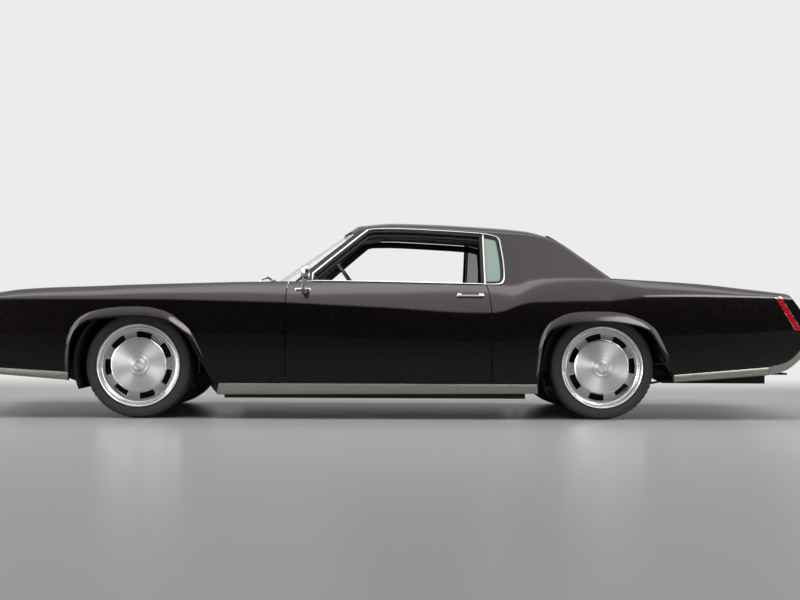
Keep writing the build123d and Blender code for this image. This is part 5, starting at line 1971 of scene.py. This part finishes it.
def dress_underside(car: Car) -> None:
    """Gives the chassis, the drive and the floor their finishes."""
    for node, finish, soft in (
        ("frame_rails", CHASSIS, 0.003), ("floor_pan", UNDERBODY, 0.0), ("axle_floor", UNDERBODY, 0.0),
        ("boot_floor", UNDERBODY, 0.0), ("wheelhouses", UNDERBODY, 0.0), ("engine", ENGINE, 0.006),
        ("exhaust", EXHAUST, 0.0), ("tail_pipes", EXHAUST, 0.0), ("fuel_tank", TANK, 0.006),
        ("front_suspension", CHASSIS, 0.0015), ("rear_axle", CHASSIS, 0.0015),
        ("knuckle_left", CHASSIS, 0.0015), ("knuckle_right", CHASSIS, 0.0015),
    ):
        car.dress(node, finish, soft)
    for side in Side:
        close_arches(car, side)


def close_arches(car: Car, side: Side) -> None:
    """The splash aprons ahead of the wheels, and the shields behind the wheels' slots."""
    aprons = Form()
    for axle_x, wall_y, low, high in ((0.0, 470.0, 190.0, 310.0), (WHEELBASE, 600.0, 160.0, 394.0)):
        face = [(axle_x - math.sqrt(404.0 ** 2 - (z - AXLE_Z) ** 2), z) for z in spread(low, high, 9)]
        back = [(x - 5, z) for x, z in reversed(face)]
        aprons.joined(Form.prism([*face, *back], wall_y, 938))
    car.piece(f"splash_aprons_{side.word}", aprons.on(side), UNDERBODY)
    for end, x, body in (("front", 0.0, f"knuckle_{side.word}"), ("rear", WHEELBASE, "body")):
        shield = Form.turned([(48, -27), (48, -23), (150, -19), (229, -19), (229, -22), (150, -23)], 72)
        shield.moved(Matrix.Translation((x, WHEEL_Y, AXLE_Z)))
        car.piece(f"brake_shield_{end}_{side.word}", shield.on(side), CHASSIS, body)


# Studio

@dataclass(frozen=True)
class Studio:
    """A plain grey floor in a pale room, soft light from above, and the camera."""

    eye: tuple = (-0.18, -9.45, 0.61)
    lens: float = 58.5
    yaw: float = 1.71
    pitch: float = 1.15
    roll: float = 0.33
    floor_reach: float = 60.0
    floor_fades: Pair = (2.2, 6.5)
    # Painted shade: the floor's grey as reflections see it, much darker than its own grey.
    floor_mirrored: tuple = (0.09, 0.09, 0.09, 1)
    ceiling_level: float = 3.2
    end_level: float = 2.2
    floor_tone: tuple = tone(150, 150, 150)
    room_tone: tuple = tone(236, 236, 236)
    ceiling: tuple[Pair, ...] = (
        (0, 0.004), (30, 0.006), (46, 0.26), (60, 0.38), (75, 0.42), (80, 1.0), (90, 1.0), (100, 0.4),
        (120, 0.22), (180, 0.1),
    )
    box_fade: float = 0.02
    boxes: tuple = (((0.46, -0.62, 0.635), 0.955, 6.0), ((-0.74, -0.65, 0.17), 0.965, 8.0))

    def build(self) -> None:
        """Sets the view, the floor, the lamps and the room's light."""
        scene = bpy.context.scene
        scene.view_settings.view_transform = "Standard"
        camera = bpy.data.cameras.new("camera")
        camera.lens, camera.sensor_width = self.lens, 36
        camera.clip_end = 200
        view = bpy.data.objects.new("camera", camera)
        scene.collection.objects.link(view)
        yaw, pitch = math.radians(self.yaw), math.radians(self.pitch)
        ahead = Vector((math.sin(yaw) * math.cos(pitch), math.cos(yaw) * math.cos(pitch), math.sin(pitch)))
        level = ahead.to_track_quat("-Z", "Y").to_matrix().to_4x4()
        turn = Matrix.Rotation(math.radians(self.roll), 4, "Z")
        view.matrix_world = Matrix.Translation(Vector(self.eye)) @ level @ turn
        scene.camera = view
        self._stage()
        self._lamps()
        self._world()

    def _stage(self) -> None:
        """The floor, which fades into the room's own light behind the car, and is painted far darker where it is seen
        in reflections, as painted shade.
        """
        columns = [[(x, y, 0.0) for y in (-self.floor_reach, self.floor_reach)]
                   for x in (-self.floor_reach, self.floor_reach)]
        form = Form.laid(columns).facing((0, 0, 1))
        mesh = bpy.data.meshes.new("studio_floor")
        form.bm.to_mesh(mesh)
        floor = bpy.data.objects.new("studio_floor", mesh)
        bpy.context.scene.collection.objects.link(floor)
        board = Board(bpy.data.materials.new("studio_floor"))
        behind = board.node("ShaderNodeSeparateXYZ", {}, {0: board.where()}, "Y")
        seen = board.node("ShaderNodeLightPath", output="Is Camera Ray")
        mirrored = board.node("ShaderNodeLightPath", output="Is Glossy Ray")
        through = board.node("ShaderNodeLightPath", output="Is Transmission Ray")
        start, end = self.floor_fades
        far = board.node("ShaderNodeMapRange", {"interpolation_type": "SMOOTHSTEP"}, {
            "Value": behind, "From Min": start, "From Max": end,
        })
        grey = self.floor_tone
        # Painted shade: rays that reflect off the car see the floor in a darker grey than the camera does.
        colour = board.mix(through, board.mix(mirrored, grey, self.floor_mirrored), grey)
        surface = board.surface(Base_Color=colour, Roughness=0.26, Specular_IOR_Level=0.5)
        glow = board.node("ShaderNodeEmission", {}, {"Color": self.room_tone, "Strength": 1.0})
        share = far * (seen + through)
        both = board.node("ShaderNodeMixShader", {}, {0: share, 1: surface, 2: glow})
        mesh.materials.append(board.finish(both))

    def _lamps(self) -> None:
        """Soft boxes over the car."""
        rows = [
            ("over", (0.0, -2.2, 4.6), (0, 0, 0), (9.0, 3.0), 420),
            ("back", (0.0, 2.4, 4.8), (0.25, 0, 0), (9.0, 2.0), 220),
        ]
        for name, place, turn, size, power in rows:
            lamp = bpy.data.lights.new(name, "AREA")
            lamp.shape, lamp.size, lamp.size_y, lamp.energy = "RECTANGLE", size[0], size[1], power
            made = bpy.data.objects.new(name, lamp)
            made.location, made.rotation_euler = place, turn
            made.visible_glossy = False
            bpy.context.scene.collection.objects.link(made)

    def _world(self) -> None:
        """An even room to the eye; in reflections, a dark room with a lit ceiling and two lit ends."""
        world = bpy.data.worlds.new("studio")
        bpy.context.scene.world = world
        board = Board(world)
        way = board.node("ShaderNodeTexCoord", output="Generated")
        x, y, z = (board.node("ShaderNodeSeparateXYZ", {}, {0: way}, axis) for axis in "XYZ")
        turn = board.node("ShaderNodeMath", {"operation": "ARCTAN2"}, {0: z, 1: y * -1.0}) / math.pi
        ceiling = board.node("ShaderNodeValToRGB", {"stops": [
            (degrees / 180, (level, level, level, 1)) for degrees, level in self.ceiling
        ]}, {0: turn})
        along = board.node("ShaderNodeMath", {"operation": "ABSOLUTE"}, {0: x})
        ends = board.node("ShaderNodeMapRange", {}, {"Value": along, "From Min": 0.6, "From Max": 0.8})
        ends = ends * z.above(0.05) * self.end_level
        ceiling = ceiling * self.ceiling_level
        brightest = board.node("ShaderNodeMath", {"operation": "MAXIMUM"}, {0: ceiling, 1: ends})
        for direction, edge, level in self.boxes:
            between = {0: way, 1: direction}
            facing = board.node("ShaderNodeVectorMath", {"operation": "DOT_PRODUCT"}, between, "Value")
            reach = {"Value": facing, "From Min": edge, "From Max": edge + self.box_fade}
            brightest = brightest + board.node("ShaderNodeMapRange", {}, reach) * level
        mirrored = board.node("ShaderNodeLightPath", output="Is Glossy Ray")
        seen = board.node("ShaderNodeLightPath", output="Is Camera Ray")
        through = board.node("ShaderNodeLightPath", output="Is Transmission Ray")
        unseen = board.mix(mirrored, (0.5, 0.5, 0.5, 1), brightest)
        colour = board.mix(seen + through, unseen, self.room_tone)
        shader = board.node("ShaderNodeBackground", {}, {"Color": colour, "Strength": 1.0})
        board.finish(shader, "ShaderNodeOutputWorld")


def main() -> None:
    """Builds the car piece by piece on its frame, then the studio round it."""
    logging.basicConfig(level=logging.INFO, format="%(name)s %(message)s")
    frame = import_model()
    car = Car(frame)
    house = Greenhouse()
    house.build(car)
    SidePanels().build(car, house)
    Lids().build(car)
    Ends().build(car)
    for end, x, first in (("front", 0.0, 80.5), ("rear", WHEELBASE, 105.7)):
        for side in Side:
            Wheel(end, side, x, first).build(car)
    Cabin().build(car, BodyLines())
    Fittings().build(car)
    dress_underside(car)
    Studio().build()
    log.info("%d pieces", car.count)


if __name__ == "__main__":
    main()
